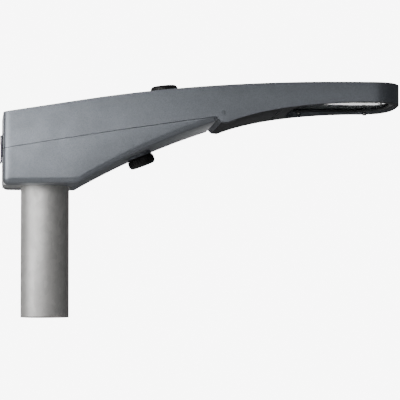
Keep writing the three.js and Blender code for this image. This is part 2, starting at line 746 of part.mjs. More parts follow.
place('upper_housing', upperHousing(), 'bodyPaint');
place('lower_cover', lowerCover(), 'bodyPaint');
place('cover_seal', coverSeal(), 'rubber');
for (const [word, side] of sides) {
  place(`hinge_pin_${word}`, hingePin(side), 'steel');
  place(`latch_${word}`, latchLever(side), 'darkPaint');
  place(`latch_pin_${word}`, latchPin(side), 'steel');
}

for (const [word, frame] of [['top', topSocketFrame], ['low', lowSocketFrame]]) {
  place(`${word}_socket_seal`, socketSeal(), 'rubber', frame);
  place(`${word}_socket`, socketBody(), 'blackPlastic', frame);
  place(`${word}_socket_cap`, socketCap(), 'blackPlastic', frame);
}

place('glass_frame', glassFrame(), 'darkPaint');
place('head_glass', upZ(windowShape(-1), head.glassLow, head.glassHigh), 'glass');
const glassSeal = ring(windowShape(-1), windowShape(-head.ledgeWidth), head.glassHigh + gap, head.sealHigh);
place('glass_seal', glassSeal, 'rubber');
place('lens_plate', lensPlate(), 'lens');
place('led_board', ledBoard(), 'board');
frameScrews.forEach((screw, index) => {
  place(`frame_screw_${index + 1}`, frameScrewSolid(screw), 'steel');
});

place('solar_panel', panelSlab(gap, panel.sink + panel.thick, panel.sink), 'solar');
place('panel_bed', panelBed(), 'rubber');
place('panel_junction_box', block(280, 314, -16, 16, 333, 345), 'blackPlastic');
place('neck_lid', neckLidSolid(), 'darkPaint');

const trayPlate = block(0, tray.length, -tray.halfWidth, tray.halfWidth, 0, tray.thick);
place('gear_tray', trayCorners.reduce((solid, [x, y]) =>
  solid.subtract(rodZ(trayScrew.radius + gap, x, y, -1, 3, 12)), trayPlate), 'steel', trayGroup);
trayCorners.forEach(([x, y], index) => {
  place(`tray_screw_${index + 1}`, hexBolt(x, y, -gap - trayScrew.head, trayScrew), 'steel', trayGroup);
});

const holderLow = tray.thick + gap;
const holder = block(0, 106, -77, 77, holderLow, 20).subtract(block(2, 104, -75, 75, 3.4, 30));
place('battery_holder', holder, 'greyPlastic', trayGroup);
for (let column = 0; column < 3; column++) {
  for (const [word, side] of sides) {
    const x = cell.firstX + cell.pitch * column;
    const y = [side * 2, side * (2 + cell.length)].sort((a, b) => a - b);
    place(`battery_cell_${column + 1}_${word}`, rodY(cell.radius, x, cell.z, ...y, 20), 'cellWrap', trayGroup);
  }
}
place('battery_board', joined(block(109, 123, -32, 32, holderLow, 4.2), block(112, 120, -20, 20, 4, 9)),
  'greenBoard', trayGroup);
place('charge_controller', block(127, 184, -42, 42, holderLow, 27), 'greyPlastic', trayGroup);
place('terminal_block', block(130, 152, 48, 76, holderLow, 16), 'blackPlastic', trayGroup);
place('led_lead', cable(ledLead, 2.5), 'cable');
place('panel_lead', cable(panelLead, 2), 'cable');

export default lamp;
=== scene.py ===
import json
import math
import bpy
import bmesh
from mathutils import Matrix, Vector


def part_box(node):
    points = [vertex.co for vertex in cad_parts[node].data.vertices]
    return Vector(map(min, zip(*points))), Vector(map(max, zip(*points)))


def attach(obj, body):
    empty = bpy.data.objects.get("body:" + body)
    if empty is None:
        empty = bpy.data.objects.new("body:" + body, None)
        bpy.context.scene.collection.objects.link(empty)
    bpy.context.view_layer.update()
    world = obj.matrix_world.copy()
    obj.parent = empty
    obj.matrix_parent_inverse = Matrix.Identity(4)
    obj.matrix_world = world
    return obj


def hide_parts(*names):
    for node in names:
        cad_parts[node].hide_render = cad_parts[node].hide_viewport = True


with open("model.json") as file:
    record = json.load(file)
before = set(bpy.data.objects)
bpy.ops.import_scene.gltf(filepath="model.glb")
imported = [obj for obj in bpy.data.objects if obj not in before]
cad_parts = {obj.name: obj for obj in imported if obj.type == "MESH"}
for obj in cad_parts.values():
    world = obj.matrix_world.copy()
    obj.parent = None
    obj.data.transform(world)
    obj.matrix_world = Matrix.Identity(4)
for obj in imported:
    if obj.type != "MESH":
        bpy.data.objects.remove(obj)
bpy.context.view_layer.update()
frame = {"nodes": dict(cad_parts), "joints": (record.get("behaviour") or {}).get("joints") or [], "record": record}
nodes = frame["nodes"]
housingLow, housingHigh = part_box("upper_housing")
print("frame loaded,", len(nodes), "nodes")

beyond = 0.4     # how far a cutting block reaches past the lamp
fitGap = 0.0003  # between pieces that touch
wall = 0.003     # cast wall of both shells


# handling objects and selections

def leaveEditing():
    if bpy.context.mode != "OBJECT":
        bpy.ops.object.mode_set(mode="OBJECT")


def clearSelection():
    leaveEditing()
    bpy.ops.object.select_all(action="DESELECT")


def pick(piece):
    clearSelection()
    piece.select_set(True)
    bpy.context.view_layer.objects.active = piece


def startEditing(selectAll="SELECT"):
    bpy.ops.object.mode_set(mode="EDIT")
    bpy.ops.mesh.select_all(action=selectAll)


def select(kind, test):
    # kind is VERT, EDGE or FACE; test is given each one and says whether to take it
    bpy.ops.mesh.select_mode(type=kind)
    bpy.ops.mesh.select_all(action="DESELECT")
    mesh = bpy.context.edit_object.data
    sheet = bmesh.from_edit_mesh(mesh)
    for item in {"VERT": sheet.verts, "EDGE": sheet.edges, "FACE": sheet.faces}[kind]:
        item.select_set(test(item))
    sheet.select_flush_mode()
    bmesh.update_edit_mesh(mesh)


def resize(x, y, z, about):
    bpy.ops.transform.resize(value=(x, y, z), center_override=about)


def applyPlace(piece):
    pick(piece)
    bpy.ops.object.transform_apply(location=True, rotation=True, scale=True)


def copyOf(piece, name):
    pick(piece)
    bpy.ops.object.duplicate()
    twin = bpy.context.object
    twin.name = name
    return twin


def joinAll(pieces):
    pick(pieces[0])
    for piece in pieces[1:]:
        piece.select_set(True)
    if len(pieces) > 1:
        bpy.ops.object.join()
    return pieces[0]


def combine(piece, other, operation):
    # DIFFERENCE, UNION or INTERSECT; the other piece is used up
    pick(piece)
    tool = piece.modifiers.new("combine", "BOOLEAN")
    tool.operation = operation
    tool.solver = "EXACT"
    tool.object = other
    bpy.ops.object.modifier_apply(modifier=tool.name)
    bpy.data.objects.remove(other, do_unlink=True)
    return piece


def cutAway(piece, *others):
    for other in others:
        combine(piece, other, "DIFFERENCE")
    return piece


def roundEdges(piece, width, segments=3, angle=40):
    pick(piece)
    tool = piece.modifiers.new("round", "BEVEL")
    tool.width = width
    tool.segments = segments
    tool.limit_method = "ANGLE"
    tool.angle_limit = math.radians(angle)
    bpy.ops.object.modifier_apply(modifier=tool.name)
    return piece


def mendNormals(piece):
    pick(piece)
    startEditing()
    bpy.ops.mesh.remove_doubles(threshold=1e-6)
    bpy.ops.mesh.normals_make_consistent(inside=False)
    leaveEditing()
    return piece


def smooth(piece, angle=30):
    pick(piece)
    bpy.ops.object.shade_smooth_by_angle(angle=math.radians(angle))


# outlines, blocks and rods

def arc(centre, radius, start, end, steps):
    points = []
    for step in range(steps + 1):
        angle = math.radians(start + (end - start) * step / steps)
        points.append((centre[0] + radius * math.cos(angle), centre[1] + radius * math.sin(angle)))
    return points


def bow(start, bend, end, steps):
    # a curve that bends once, towards the middle point
    points = []
    for step in range(steps + 1):
        t = step / steps
        points.append(tuple((1 - t) ** 2 * a + 2 * t * (1 - t) * b + t * t * c
                            for a, b, c in zip(start, bend, end)))
    return points


def heightOn(curve, x):
    # height on a once-bent curve; past its ends it runs on straight
    start, bend, end = curve
    if x <= start[0]:
        return start[1] + (x - start[0]) * (bend[1] - start[1]) / (bend[0] - start[0])
    if x >= end[0]:
        return end[1] + (x - end[0]) * (end[1] - bend[1]) / (end[0] - bend[0])
    a = start[0] - 2 * bend[0] + end[0]
    b = 2 * (bend[0] - start[0])
    c = start[0] - x
    t = -c / b if abs(a) < 1e-9 else (-b + math.sqrt(b * b - 4 * a * c)) / (2 * a)
    return (1 - t) ** 2 * start[1] + 2 * t * (1 - t) * bend[1] + t * t * end[1]


def prism(points, across, low, high, name="prism"):
    # one vertex is walked round the outline, then the face is filled and pulled through
    def placed(point, depth):
        first, second = point
        places = {"X": (depth, first, second), "Y": (first, depth, second), "Z": (first, second, depth)}
        return places[across]
    clearSelection()
    bpy.ops.mesh.primitive_plane_add(size=0.01, location=placed(points[0], low))
    piece = bpy.context.object
    piece.name = name
    applyPlace(piece)
    startEditing()
    bpy.ops.mesh.select_mode(type="VERT")
    bpy.ops.mesh.merge(type="CENTER")
    for here, there in zip(points, points[1:]):
        step = Vector(placed(there, low)) - Vector(placed(here, low))
        bpy.ops.mesh.extrude_vertices_move(TRANSFORM_OT_translate={"value": step})
    bpy.ops.mesh.select_all(action="SELECT")
    bpy.ops.mesh.edge_face_add()
    rise = Vector(placed((0, 0), high - low))
    bpy.ops.mesh.extrude_region_move(TRANSFORM_OT_translate={"value": rise})
    bpy.ops.mesh.select_all(action="SELECT")
    bpy.ops.mesh.normals_make_consistent(inside=False)
    leaveEditing()
    return piece


def block(x0, x1, y0, y1, z0, z1, name="block"):
    clearSelection()
    centre = ((x0 + x1) / 2, (y0 + y1) / 2, (z0 + z1) / 2)
    size = (abs(x1 - x0), abs(y1 - y0), abs(z1 - z0))
    bpy.ops.mesh.primitive_cube_add(size=1, location=centre, scale=size)
    piece = bpy.context.object
    piece.name = name
    applyPlace(piece)
    return piece


def rod(radius, start, end, sides=32, name="rod", endRadius=None):
    clearSelection()
    start, end = Vector(start), Vector(end)
    along = end - start
    bpy.ops.mesh.primitive_cone_add(vertices=sides, radius1=radius, depth=along.length,
                                    radius2=radius if endRadius is None else endRadius,
                                    location=(start + end) / 2,
                                    rotation=along.to_track_quat("Z", "Y").to_euler())
    piece = bpy.context.object
    piece.name = name
    applyPlace(piece)
    return piece


# the form of the lamp

lampShape = {
    "roof": ((0.060, 0.3358), (0.2493, 0.3640), (0.470, 0.3640)),
    "underside": ((0.049, 0.206), (0.1516, 0.2655), (0.262, 0.302)),
    "heel": (0.271, 0.3005),
    "toe": (0.280, 0.2997),
    "neck": ((0.280, 0.2997), (0.3555, 0.3299), (0.500, 0.3328)),
    "parting": ((-0.067, 0.2598), (0.098, 0.2867), (0.262, 0.3085)),
    "plan": ((-0.067, 0.091), (0.180, 0.118), (0.400, 0.120)),
    "flatFloor": 0.2055,
    "tipStart": 0.505,
    "tipPower": 2.6,          # above 2 the tip is squarer than an ellipse
    "sliceLength": 0.011,
    "tipSlices": 15,
    "tipSweep": 86,           # degrees of the tip's quarter turn that the slices cover
    "rearCorner": 0.010,
    "topRim": 0.0075,
    "coverRim": 0.009,
    "headRim": 0.0018,        # the lower edges of neck and head are almost sharp
    "cornerSegments": 7,
    "rimSegments": 5,
}
rearEnd = housingLow[0]
tipEnd = housingHigh[0]


def roofAt(x):
    return min(heightOn(lampShape["roof"], x), housingHigh[2])


def floorAt(x):
    underside, heel, toe = lampShape["underside"], lampShape["heel"], lampShape["toe"]
    if x < underside[0][0]:
        return lampShape["flatFloor"]
    if x < underside[2][0]:
        return heightOn(underside, x)
    if x < toe[0]:
        rear, front = (underside[2], heel) if x < heel[0] else (heel, toe)
        return rear[1] + (front[1] - rear[1]) * (x - rear[0]) / (front[0] - rear[0])
    return heightOn(lampShape["neck"], min(x, lampShape["neck"][2][0]))


def halfWidthAt(x):
    tipStart = lampShape["tipStart"]
    if x <= tipStart:
        return min(heightOn(lampShape["plan"], x), housingHigh[1])
    along = (x - tipStart) / (tipEnd - tipStart)
    power = lampShape["tipPower"]
    return housingHigh[1] * max(1 - along ** power, 0) ** (1 / power)


def slicesBetween(start, end):
    kinks = [lampShape["underside"][0][0], lampShape["underside"][2][0], lampShape["heel"][0],
             lampShape["toe"][0], lampShape["tipStart"]]
    places = [x for x in kinks if start < x < end]
    x = start + lampShape["rearCorner"] + 0.004
    while x < min(end, lampShape["tipStart"]):
        if all(abs(x - kink) > 0.004 for kink in kinks):
            places.append(x)
        x += lampShape["sliceLength"]
    if end > lampShape["tipStart"]:
        reach = end - lampShape["tipStart"]
        for step in range(1, lampShape["tipSlices"] + 1):
            angle = math.radians(lampShape["tipSweep"] * step / lampShape["tipSlices"])
            places.append(lampShape["tipStart"] + reach * math.sin(angle))
    else:
        places = [x for x in places if x < end - 0.002] + [end]
    return [start] + sorted(places)


def lampBlock(start, end, side=0, roof=0, floor=0, rounded=True, lowRim=lampShape["coverRim"]):
    # a section at the rear is pulled forwards slice by slice and resized to the lamp's width and height
    def section(x):
        high, low = roofAt(x) - roof, floorAt(x) + floor
        return 2 * (halfWidthAt(x) - side), high - low, (high + low) / 2
    clearSelection()
    width, height, centre = section(start)
    bpy.ops.mesh.primitive_plane_add(size=1, location=(start, 0, centre), rotation=(0, math.pi / 2, 0))
    piece = bpy.context.object
    applyPlace(piece)
    startEditing()
    resize(1, width, height, (start, 0, centre))
    slices = slicesBetween(start, end)
    for here, there in zip(slices, slices[1:]):
        newWidth, newHeight, newCentre = section(there)
        bpy.ops.mesh.extrude_region_move(
            TRANSFORM_OT_translate={"value": (there - here, 0, newCentre - centre)})
        resize(1, newWidth / width, newHeight / height, (there, 0, newCentre))
        width, height, centre = newWidth, newHeight, newCentre
    bpy.ops.mesh.select_all(action="SELECT")
    bpy.ops.mesh.normals_make_consistent(inside=False)
    if rounded:
        roundLampBlock(start, side, lowRim)
    leaveEditing()
    return piece


def roundLampBlock(start, side, lowRim):
    # the upright rear corners first, then the rims above and below
    def atRear(edge):
        ends = [vert.co for vert in edge.verts]
        return all(abs(end.x - start) < 1e-5 for end in ends) and abs(ends[0].y - ends[1].y) < 1e-5
    select("EDGE", atRear)
    bpy.ops.mesh.bevel(offset=lampShape["rearCorner"] - side, segments=lampShape["cornerSegments"],
                       affect="EDGES", clamp_overlap=False)

    def onRim(upwards):
        def test(edge):
            if len(edge.link_faces) != 2:
                return False
            rises = sorted(abs(face.normal.z) for face in edge.link_faces)
            flat = max(edge.link_faces, key=lambda face: abs(face.normal.z))
            return rises[0] < 0.3 < 0.6 < rises[1] and (flat.normal.z > 0) == upwards
        return test
    for upwards, width in ((True, lampShape["topRim"]), (False, lowRim)):
        select("EDGE", onRim(upwards))
        bpy.ops.mesh.bevel(offset=width - side, segments=lampShape["rimSegments"], affect="EDGES",
                           clamp_overlap=True)


def partingPoints(offset, steps=40):
    # along the joint between housing and cover, from behind the lamp to the cover's front
    curve = lampShape["parting"]
    behind = rearEnd - 0.02
    points = [(behind, heightOn(curve, behind) + offset)]
    return points + [(x, z + offset) for x, z in bow(*curve, steps)]


def windowPoints(grow, steps=14):
    # outline of the window in the head, made larger all round by grow
    centreX, halfLength, halfWidth = 0.468, 0.084, 0.108
    half = bow((0.384, 0), (0.384, 0.104), (0.404, 0.107), steps)
    tip = [(0.494, 0.108), (0.522, 0.108), (0.551, 0.086), (0.551, 0)]
    half += [tip[0]]
    for step in range(1, steps + 1):
        t = step / steps
        weights = ((1 - t) ** 3, 3 * t * (1 - t) ** 2, 3 * t * t * (1 - t), t ** 3)
        half.append(tuple(sum(w * p[axis] for w, p in zip(weights, tip)) for axis in (0, 1)))
    whole = half + [(x, -y) for x, y in reversed(half[1:-1])]
    longer = (halfLength + grow) / halfLength
    wider = (halfWidth + grow) / halfWidth
    return [(centreX + (x - centreX) * longer, y * wider) for x, y in whole]


def roundedOblong(x0, x1, halfWidth, corner, steps=8):
    corners = ((x1 - corner, corner - halfWidth, -90), (x1 - corner, halfWidth - corner, 0),
               (x0 + corner, halfWidth - corner, 90), (x0 + corner, corner - halfWidth, 180))
    points = []
    for x, y, start in corners:
        points += arc((x, y), corner, start, start + 90, steps)
    return points


def reachY(side, inner, outer):
    return sorted((side * inner, side * outer))


# finishes

def newFinish(name, colour, roughness, metallic=0.0, **sockets):
    material = bpy.data.materials.new(name)
    material.use_nodes = True
    shader = material.node_tree.nodes["Principled BSDF"]
    shader.inputs["Base Color"].default_value = (*colour, 1)
    shader.inputs["Roughness"].default_value = roughness
    shader.inputs["Metallic"].default_value = metallic
    for socketName, value in sockets.items():
        shader.inputs[socketName.replace("_", " ")].default_value = value
    return material


def addNode(material, kind, **settings):
    node = material.node_tree.nodes.new(kind)
    for key, value in settings.items():
        setattr(node, key, value)
    return node


def join(material, source, target):
    material.node_tree.links.new(source, target)


def shaderOf(material):
    return material.node_tree.nodes["Principled BSDF"]


def placeOn(material, stretch=(1, 1, 1)):
    # object coordinates, stretched where a pattern runs in one direction
    coordinates = addNode(material, "ShaderNodeTexCoord")
    mapping = addNode(material, "ShaderNodeMapping")
    mapping.inputs["Scale"].default_value = stretch
    join(material, coordinates.outputs["Object"], mapping.inputs["Vector"])
    return mapping.outputs["Vector"]


def grain(material, size, detail=3.0, stretch=(1, 1, 1), roughness=0.55):
    # cloudy noise whose patches are about size across
    noise = addNode(material, "ShaderNodeTexNoise")
    noise.inputs["Scale"].default_value = 1 / size
    noise.inputs["Detail"].default_value = detail
    noise.inputs["Roughness"].default_value = roughness
    join(material, placeOn(material, stretch), noise.inputs["Vector"])
    return noise.outputs["Fac"]


def flakes(material, size, stretch=(1, 1, 1)):
    # cells with one random grey each
    cells = addNode(material, "ShaderNodeTexVoronoi")
    cells.inputs["Scale"].default_value = 1 / size
    join(material, placeOn(material, stretch), cells.inputs["Vector"])
    grey = addNode(material, "ShaderNodeSeparateColor")
    join(material, cells.outputs["Color"], grey.inputs["Color"])
    return grey.outputs["Red"]


def spread(material, source, low, high, fromLow=0.3, fromHigh=0.7):
    # a pattern's grey stretched to the range low to high
    node = addNode(material, "ShaderNodeMapRange")
    node.inputs["From Min"].default_value = fromLow
    node.inputs["From Max"].default_value = fromHigh
    node.inputs["To Min"].default_value = low
    node.inputs["To Max"].default_value = high
    join(material, source, node.inputs["Value"])
    return node.outputs["Result"]


def blendColours(material, factor, first, second):
    node = addNode(material, "ShaderNodeMix", data_type="RGBA")
    for index, colour in ((6, first), (7, second)):
        if isinstance(colour, tuple):
            node.inputs[index].default_value = (*colour, 1)
        else:
            join(material, colour, node.inputs[index])
    join(material, factor, node.inputs[0])
    return node.outputs[2]


def addBump(material, *layers):
    # each layer is (pattern, strength, depth in metres)
    before = None
    for pattern, strength, depth in layers:
        node = addNode(material, "ShaderNodeBump")
        node.inputs["Strength"].default_value = strength
        node.inputs["Distance"].default_value = depth
        join(material, pattern, node.inputs["Height"])
        if before:
            join(material, before, node.inputs["Normal"])
        before = node.outputs["Normal"]
    join(material, before, shaderOf(material).inputs["Normal"])


def varyColour(material, pattern, first, second):
    mixed = blendColours(material, pattern, first, second)
    join(material, mixed, shaderOf(material).inputs["Base Color"])


def varyGloss(material, size, low, high, detail=3):
    # roughness that wanders from low to high over patches about size across
    join(material, spread(material, grain(material, size, detail), low, high),
         shaderOf(material).inputs["Roughness"])


def paintFinish(name, colour, shade, roughness, metallic, flakeSize, textureSize, textureDepth):
    # powder coat: fine metal flakes, a faint orange peel and slow clouds in tone and gloss
    material = newFinish(name, colour, roughness, metallic, Specular_IOR_Level=0.5)
    sparkle = spread(material, flakes(material, flakeSize), 0, 1, 0, 1)
    tone = blendColours(material, sparkle, shade, colour)
    cloud = spread(material, grain(material, 0.09, 2), 0.0, 0.16)
    varyColour(material, cloud, tone, tuple(channel * 0.72 for channel in colour))
    varyGloss(material, 0.03, roughness - 0.05, roughness + 0.06)
    addBump(material, (grain(material, textureSize, 2), 0.5, textureDepth),
            (flakes(material, flakeSize), 0.12, 0.00006))
    return material


def bodyPaint():
    return paintFinish("body_paint", (0.276, 0.297, 0.331), (0.195, 0.210, 0.234), 0.40, 0.72,
                       0.0007, 0.0018, 0.00012)


def darkPaint():
    return paintFinish("dark_paint", (0.062, 0.067, 0.070), (0.040, 0.044, 0.046), 0.55, 0.15,
                       0.0009, 0.0016, 0.00014)


def galvanised():
    # zinc spangle, dull patches and faint runs down the pole
    material = newFinish("galvanised", (0.60, 0.59, 0.575), 0.5, 0.62, Specular_IOR_Level=0.45)
    spangle = spread(material, flakes(material, 0.0075, (1, 1, 0.7)), 0, 1, 0, 1)
    zinc = blendColours(material, spangle, (0.55, 0.543, 0.53), (0.63, 0.62, 0.605))
    runs = spread(material, grain(material, 0.020, 4, (1, 1, 0.12)), 0, 0.35, 0.42, 0.68)
    stained = blendColours(material, runs, zinc, (0.46, 0.455, 0.445))
    specks = spread(material, grain(material, 0.0022, 3), 0, 0.30, 0.60, 0.72)
    varyColour(material, specks, stained, (0.33, 0.32, 0.31))
    varyGloss(material, 0.012, 0.44, 0.56, 4)
    addBump(material, (grain(material, 0.009, 3), 0.25, 0.0002),
            (grain(material, 0.0011, 2), 0.25, 0.00008))
    return material


def castAlloy():
    material = newFinish("cast_alloy", (0.46, 0.465, 0.47), 0.5, 0.75)
    tone = spread(material, grain(material, 0.015, 5), 0, 0.6)
    varyColour(material, tone, (0.50, 0.505, 0.51), (0.30, 0.305, 0.31))
    varyGloss(material, 0.004, 0.42, 0.62)
    addBump(material, (grain(material, 0.0013, 3), 0.6, 0.00025))
    return material


def steel():
    # zinc plated: a cloudy tone and fine turning marks
    material = newFinish("steel", (0.62, 0.62, 0.61), 0.3, 1.0)
    tone = spread(material, grain(material, 0.006, 4), 0, 0.7)
    varyColour(material, tone, (0.66, 0.66, 0.65), (0.42, 0.42, 0.41))
    varyGloss(material, 0.0015, 0.24, 0.42)
    addBump(material, (grain(material, 0.0006, 2), 0.3, 0.00005))
    return material


def plasticFinish(name, colour, roughness, textureSize=0.0008, dust=(0.16, 0.155, 0.15), dustAmount=0.10):
    # moulded plastic with a spark-eroded texture and a little dust
    material = newFinish(name, colour, roughness, 0.0, Specular_IOR_Level=0.45)
    patches = spread(material, grain(material, 0.011, 5), 0, dustAmount, 0.45, 0.75)
    varyColour(material, patches, colour, dust)
    varyGloss(material, 0.005, roughness - 0.08, roughness + 0.1)
    addBump(material, (grain(material, textureSize, 2), 0.45, 0.00008))
    return material


def blackPlastic():
    return plasticFinish("black_plastic", (0.0085, 0.0088, 0.0095), 0.46)


def greyPlastic():
    return plasticFinish("grey_plastic", (0.105, 0.115, 0.122), 0.5, dust=(0.2, 0.2, 0.2))


def rubber():
    return plasticFinish("rubber", (0.012, 0.012, 0.0125), 0.78, 0.0005)


def cableJacket():
    return plasticFinish("cable_jacket", (0.014, 0.0145, 0.016), 0.5, 0.0012)


def windowGlass():
    # tempered glass: clear, with a light haze and a few dust specks
    material = newFinish("window_glass", (0.92, 0.96, 0.965), 0.05, 0.0, IOR=1.5, Transmission_Weight=1.0,
                         Specular_IOR_Level=0.5)
    specks = spread(material, grain(material, 0.0035, 4), 0.03, 0.16, 0.45, 0.72)
    join(material, specks, shaderOf(material).inputs["Roughness"])
    haze = spread(material, grain(material, 0.04, 3), 0, 0.5)
    varyColour(material, haze, (0.93, 0.965, 0.97), (0.86, 0.90, 0.905))
    return material


def lensAcrylic():
    material = newFinish("lens_acrylic", (0.86, 0.89, 0.90), 0.12, 0.0, IOR=1.49,
                         Transmission_Weight=0.55)
    varyGloss(material, 0.006, 0.08, 0.22)
    tint = spread(material, grain(material, 0.03, 3), 0, 1)
    varyColour(material, tint, (0.88, 0.91, 0.92), (0.78, 0.82, 0.84))
    addBump(material, (grain(material, 0.002, 2), 0.2, 0.00004))
    return material


def whiteBoard():
    material = newFinish("white_board", (0.82, 0.83, 0.82), 0.42)
    tone = spread(material, grain(material, 0.01, 4), 0, 0.5)
    varyColour(material, tone, (0.84, 0.85, 0.84), (0.74, 0.75, 0.73))
    varyGloss(material, 0.004, 0.34, 0.52)
    addBump(material, (grain(material, 0.0009, 2), 0.25, 0.00004))
    return material


def greenBoard():
    # solder mask with the faint relief of copper tracks
    material = newFinish("green_board", (0.010, 0.10, 0.045), 0.32, 0.0, Coat_Weight=0.3)
    tracks = addNode(material, "ShaderNodeTexVoronoi", distance="MANHATTAN")
    tracks.inputs["Scale"].default_value = 260
    join(material, placeOn(material), tracks.inputs["Vector"])
    lines = spread(material, tracks.outputs["Distance"], 0, 1, 0.30, 0.36)
    varyColour(material, lines, (0.010, 0.115, 0.050), (0.020, 0.19, 0.080))
    addBump(material, (lines, 0.4, 0.00005))
    return material


def cellWrap():
    material = newFinish("cell_wrap", (0.020, 0.145, 0.42), 0.4, 0.0, Coat_Weight=0.35,
                         Coat_Roughness=0.25)
    wrinkle = grain(material, 0.012, 3, (1, 0.2, 1))
    varyColour(material, spread(material, wrinkle, 0, 1), (0.018, 0.13, 0.40), (0.035, 0.18, 0.47))
    varyGloss(material, 0.01, 0.33, 0.5)
    addBump(material, (wrinkle, 0.3, 0.0002))
    return material


def solarCellFinish():
    # dark blue silicon under glass, crossed by hair-thin silver fingers
    material = newFinish("solar_laminate", (0.006, 0.010, 0.030), 0.28, 0.25, Coat_Weight=1.0,
                         Coat_Roughness=0.06, Coat_IOR=1.5)
    cloud = spread(material, grain(material, 0.022, 3), 0, 1)
    silicon = blendColours(material, cloud, (0.0045, 0.0075, 0.022), (0.009, 0.016, 0.045))
    fingers = addNode(material, "ShaderNodeTexWave", wave_type="BANDS", bands_direction="Y")
    fingers.inputs["Scale"].default_value = 170
    join(material, placeOn(material), fingers.inputs["Vector"])
    lines = spread(material, fingers.outputs["Fac"], 0, 0.35, 0.93, 1.0)
    varyColour(material, lines, silicon, (0.30, 0.31, 0.33))
    addBump(material, (lines, 0.15, 0.00003))
    return material


def backsheetFinish():
    material = newFinish("backsheet", (0.016, 0.017, 0.020), 0.35, 0.0, Coat_Weight=1.0,
                         Coat_Roughness=0.07)
    weave = grain(material, 0.0016, 2)
    varyColour(material, spread(material, weave, 0, 1), (0.013, 0.014, 0.017), (0.024, 0.025, 0.029))
    addBump(material, (weave, 0.2, 0.00004))
    return material


def soffitFinish():
    # a matt dark colour for the downward faces under the neck and the head, and for the neck lid
    material = newFinish("soffit", (0.045, 0.047, 0.050), 0.85, 0.0, Specular_IOR_Level=0.2)
    tone = spread(material, grain(material, 0.02, 4), 0, 1)
    varyColour(material, tone, (0.040, 0.042, 0.045), (0.056, 0.058, 0.061))
    varyGloss(material, 0.006, 0.78, 0.92)
    addBump(material, (grain(material, 0.0016, 2), 0.4, 0.00012))
    return material


finishes = {
    "body_paint": bodyPaint(),
    "dark_paint": darkPaint(),
    "galvanised": galvanised(),
    "cast_alloy": castAlloy(),
    "steel": steel(),
    "black_plastic": blackPlastic(),
    "grey_plastic": greyPlastic(),
    "rubber": rubber(),
    "window_glass": windowGlass(),
    "lens_acrylic": lensAcrylic(),
    "white_board": whiteBoard(),
    "green_board": greenBoard(),
    "solar_laminate": solarCellFinish(),
    "cell_wrap": cellWrap(),
    "cable_jacket": cableJacket(),
}
extraFinishes = {"backsheet": backsheetFinish(), "soffit": soffitFinish()}
slotOfNode = {row["node"]: row["material_slot"] for row in frame["record"]["subparts"]}
bodyOfNode = {}
for bodyName, nodeNames in frame["record"]["behaviour"]["bodies"].items():
    for nodeName in nodeNames:
        bodyOfNode[nodeName] = bodyName
print("finishes made")


def finishPiece(piece, name, *replaced, angle=30, finish=None, slotName=None, body=None):
    # the piece stands for the nodes it replaces and takes their body, slot and finish
    first = replaced[0] if replaced else None
    piece.name = name
    smooth(piece, angle)
    slotName = slotName or slotOfNode[first]
    piece.data.materials.clear()
    piece.data.materials.append(finish or finishes[slotName])
    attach(piece, body or bodyOfNode[first])
    if replaced:
        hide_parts(*replaced)
    return piece


# upper housing: shell with the head in one piece

housing = {
    "hollowSplit": 0.214,     # behind it the hollow reaches the roof, in front it clears the panel
    "neckHollowEnd": 0.374,
    "toeBlock": (0.256, 0.291, 0.3125),
    "panelRecess": 0.0042,
    "ledge": 0.3457,
    "ceiling": 0.353,
    "ledgeWidth": 0.005,
    "cableWay": (0.360, 0.392, 0.007, 0.3456, 0.352),
    "panelLeadHole": (0.300, 0.006),
    "bossRadius": 0.009,
    "bossTop": 0.345,
    "earSlot": (0.0985, 0.1075),
    "jointGap": 0.0005,
}
boreRadius = {
    "clampBolt": 0.0043,
    "trayScrew": 0.0023,
    "frameTab": 0.0045,
    "frameScrew": 0.0019,
    "gripScrew": 0.0053,
    "pin": 0.0033,
    "latchPocket": 0.0047,
    "latchPin": 0.0018,
    "socket": 0.0133,
}
panelShape = {"rear": 0.226, "front": 0.526, "halfWidth": 0.098, "corner": 0.020}
lidShape = {"rear": 0.296, "front": 0.366, "margin": 0.010, "sink": 0.0008, "thick": 0.0024}
hingePlace = next(joint["pos_m"] for joint in frame["joints"] if joint["name"] == "cover_hinge")
latchPlaces = {joint["name"].removesuffix("_latch_hinge"): joint["pos_m"]
               for joint in frame["joints"] if "latch" in joint["name"]}
boltPlaces = [sum(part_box(f"clamp_bolt_{index}"), Vector()) / 2 for index in range(1, 5)]
screwPlaces = [sum(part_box(f"frame_screw_{index}"), Vector()) / 2 for index in range(1, 5)]
trayTilt = math.radians(8)
trayRear = (0.052, 0, 0.284)
trayCorners = [(0.008, 0.085), (0.008, -0.085), (0.176, 0.085), (0.176, -0.085)]


def onTray(x, y, z):
    # a point given along, across and above the tray, in the lamp's frame
    return (trayRear[0] + x * math.cos(trayTilt) - z * math.sin(trayTilt), y,
            trayRear[2] + x * math.sin(trayTilt) + z * math.cos(trayTilt))


def housingRegion(offset):
    points = partingPoints(offset)
    heel = lampShape["heel"]
    points += [heel, (heel[0], 0.1), (2 * beyond, 0.1), (2 * beyond, 2 * beyond)]
    points += [(points[0][0], 2 * beyond)]
    return prism(points, "Y", -beyond, beyond)


def lampHollows(start, side, roof):
    # the two hollows that overlap a little, each kept clear of the toe that carries the hinge pins
    split = housing["hollowSplit"]
    rear = lampBlock(start, split, side, wall, wall)
    neck = lampBlock(split - 0.002, housing["neckHollowEnd"], side, roof, wall, rounded=False)
    combine(rear, neck, "UNION")
    toeRear, toeFront, toeRoof = housing["toeBlock"]
    return cutAway(rear, block(toeRear, toeFront, -beyond, beyond, 0.1, toeRoof))


def windowPrism(grow, low, high):
    return prism(windowPoints(grow), "Z", low, high)


def panelPrism(shrink, low, high):
    outline = roundedOblong(panelShape["rear"] + shrink, panelShape["front"] - shrink,
                            panelShape["halfWidth"] - shrink, panelShape["corner"])
    return prism(outline, "Z", low, high)


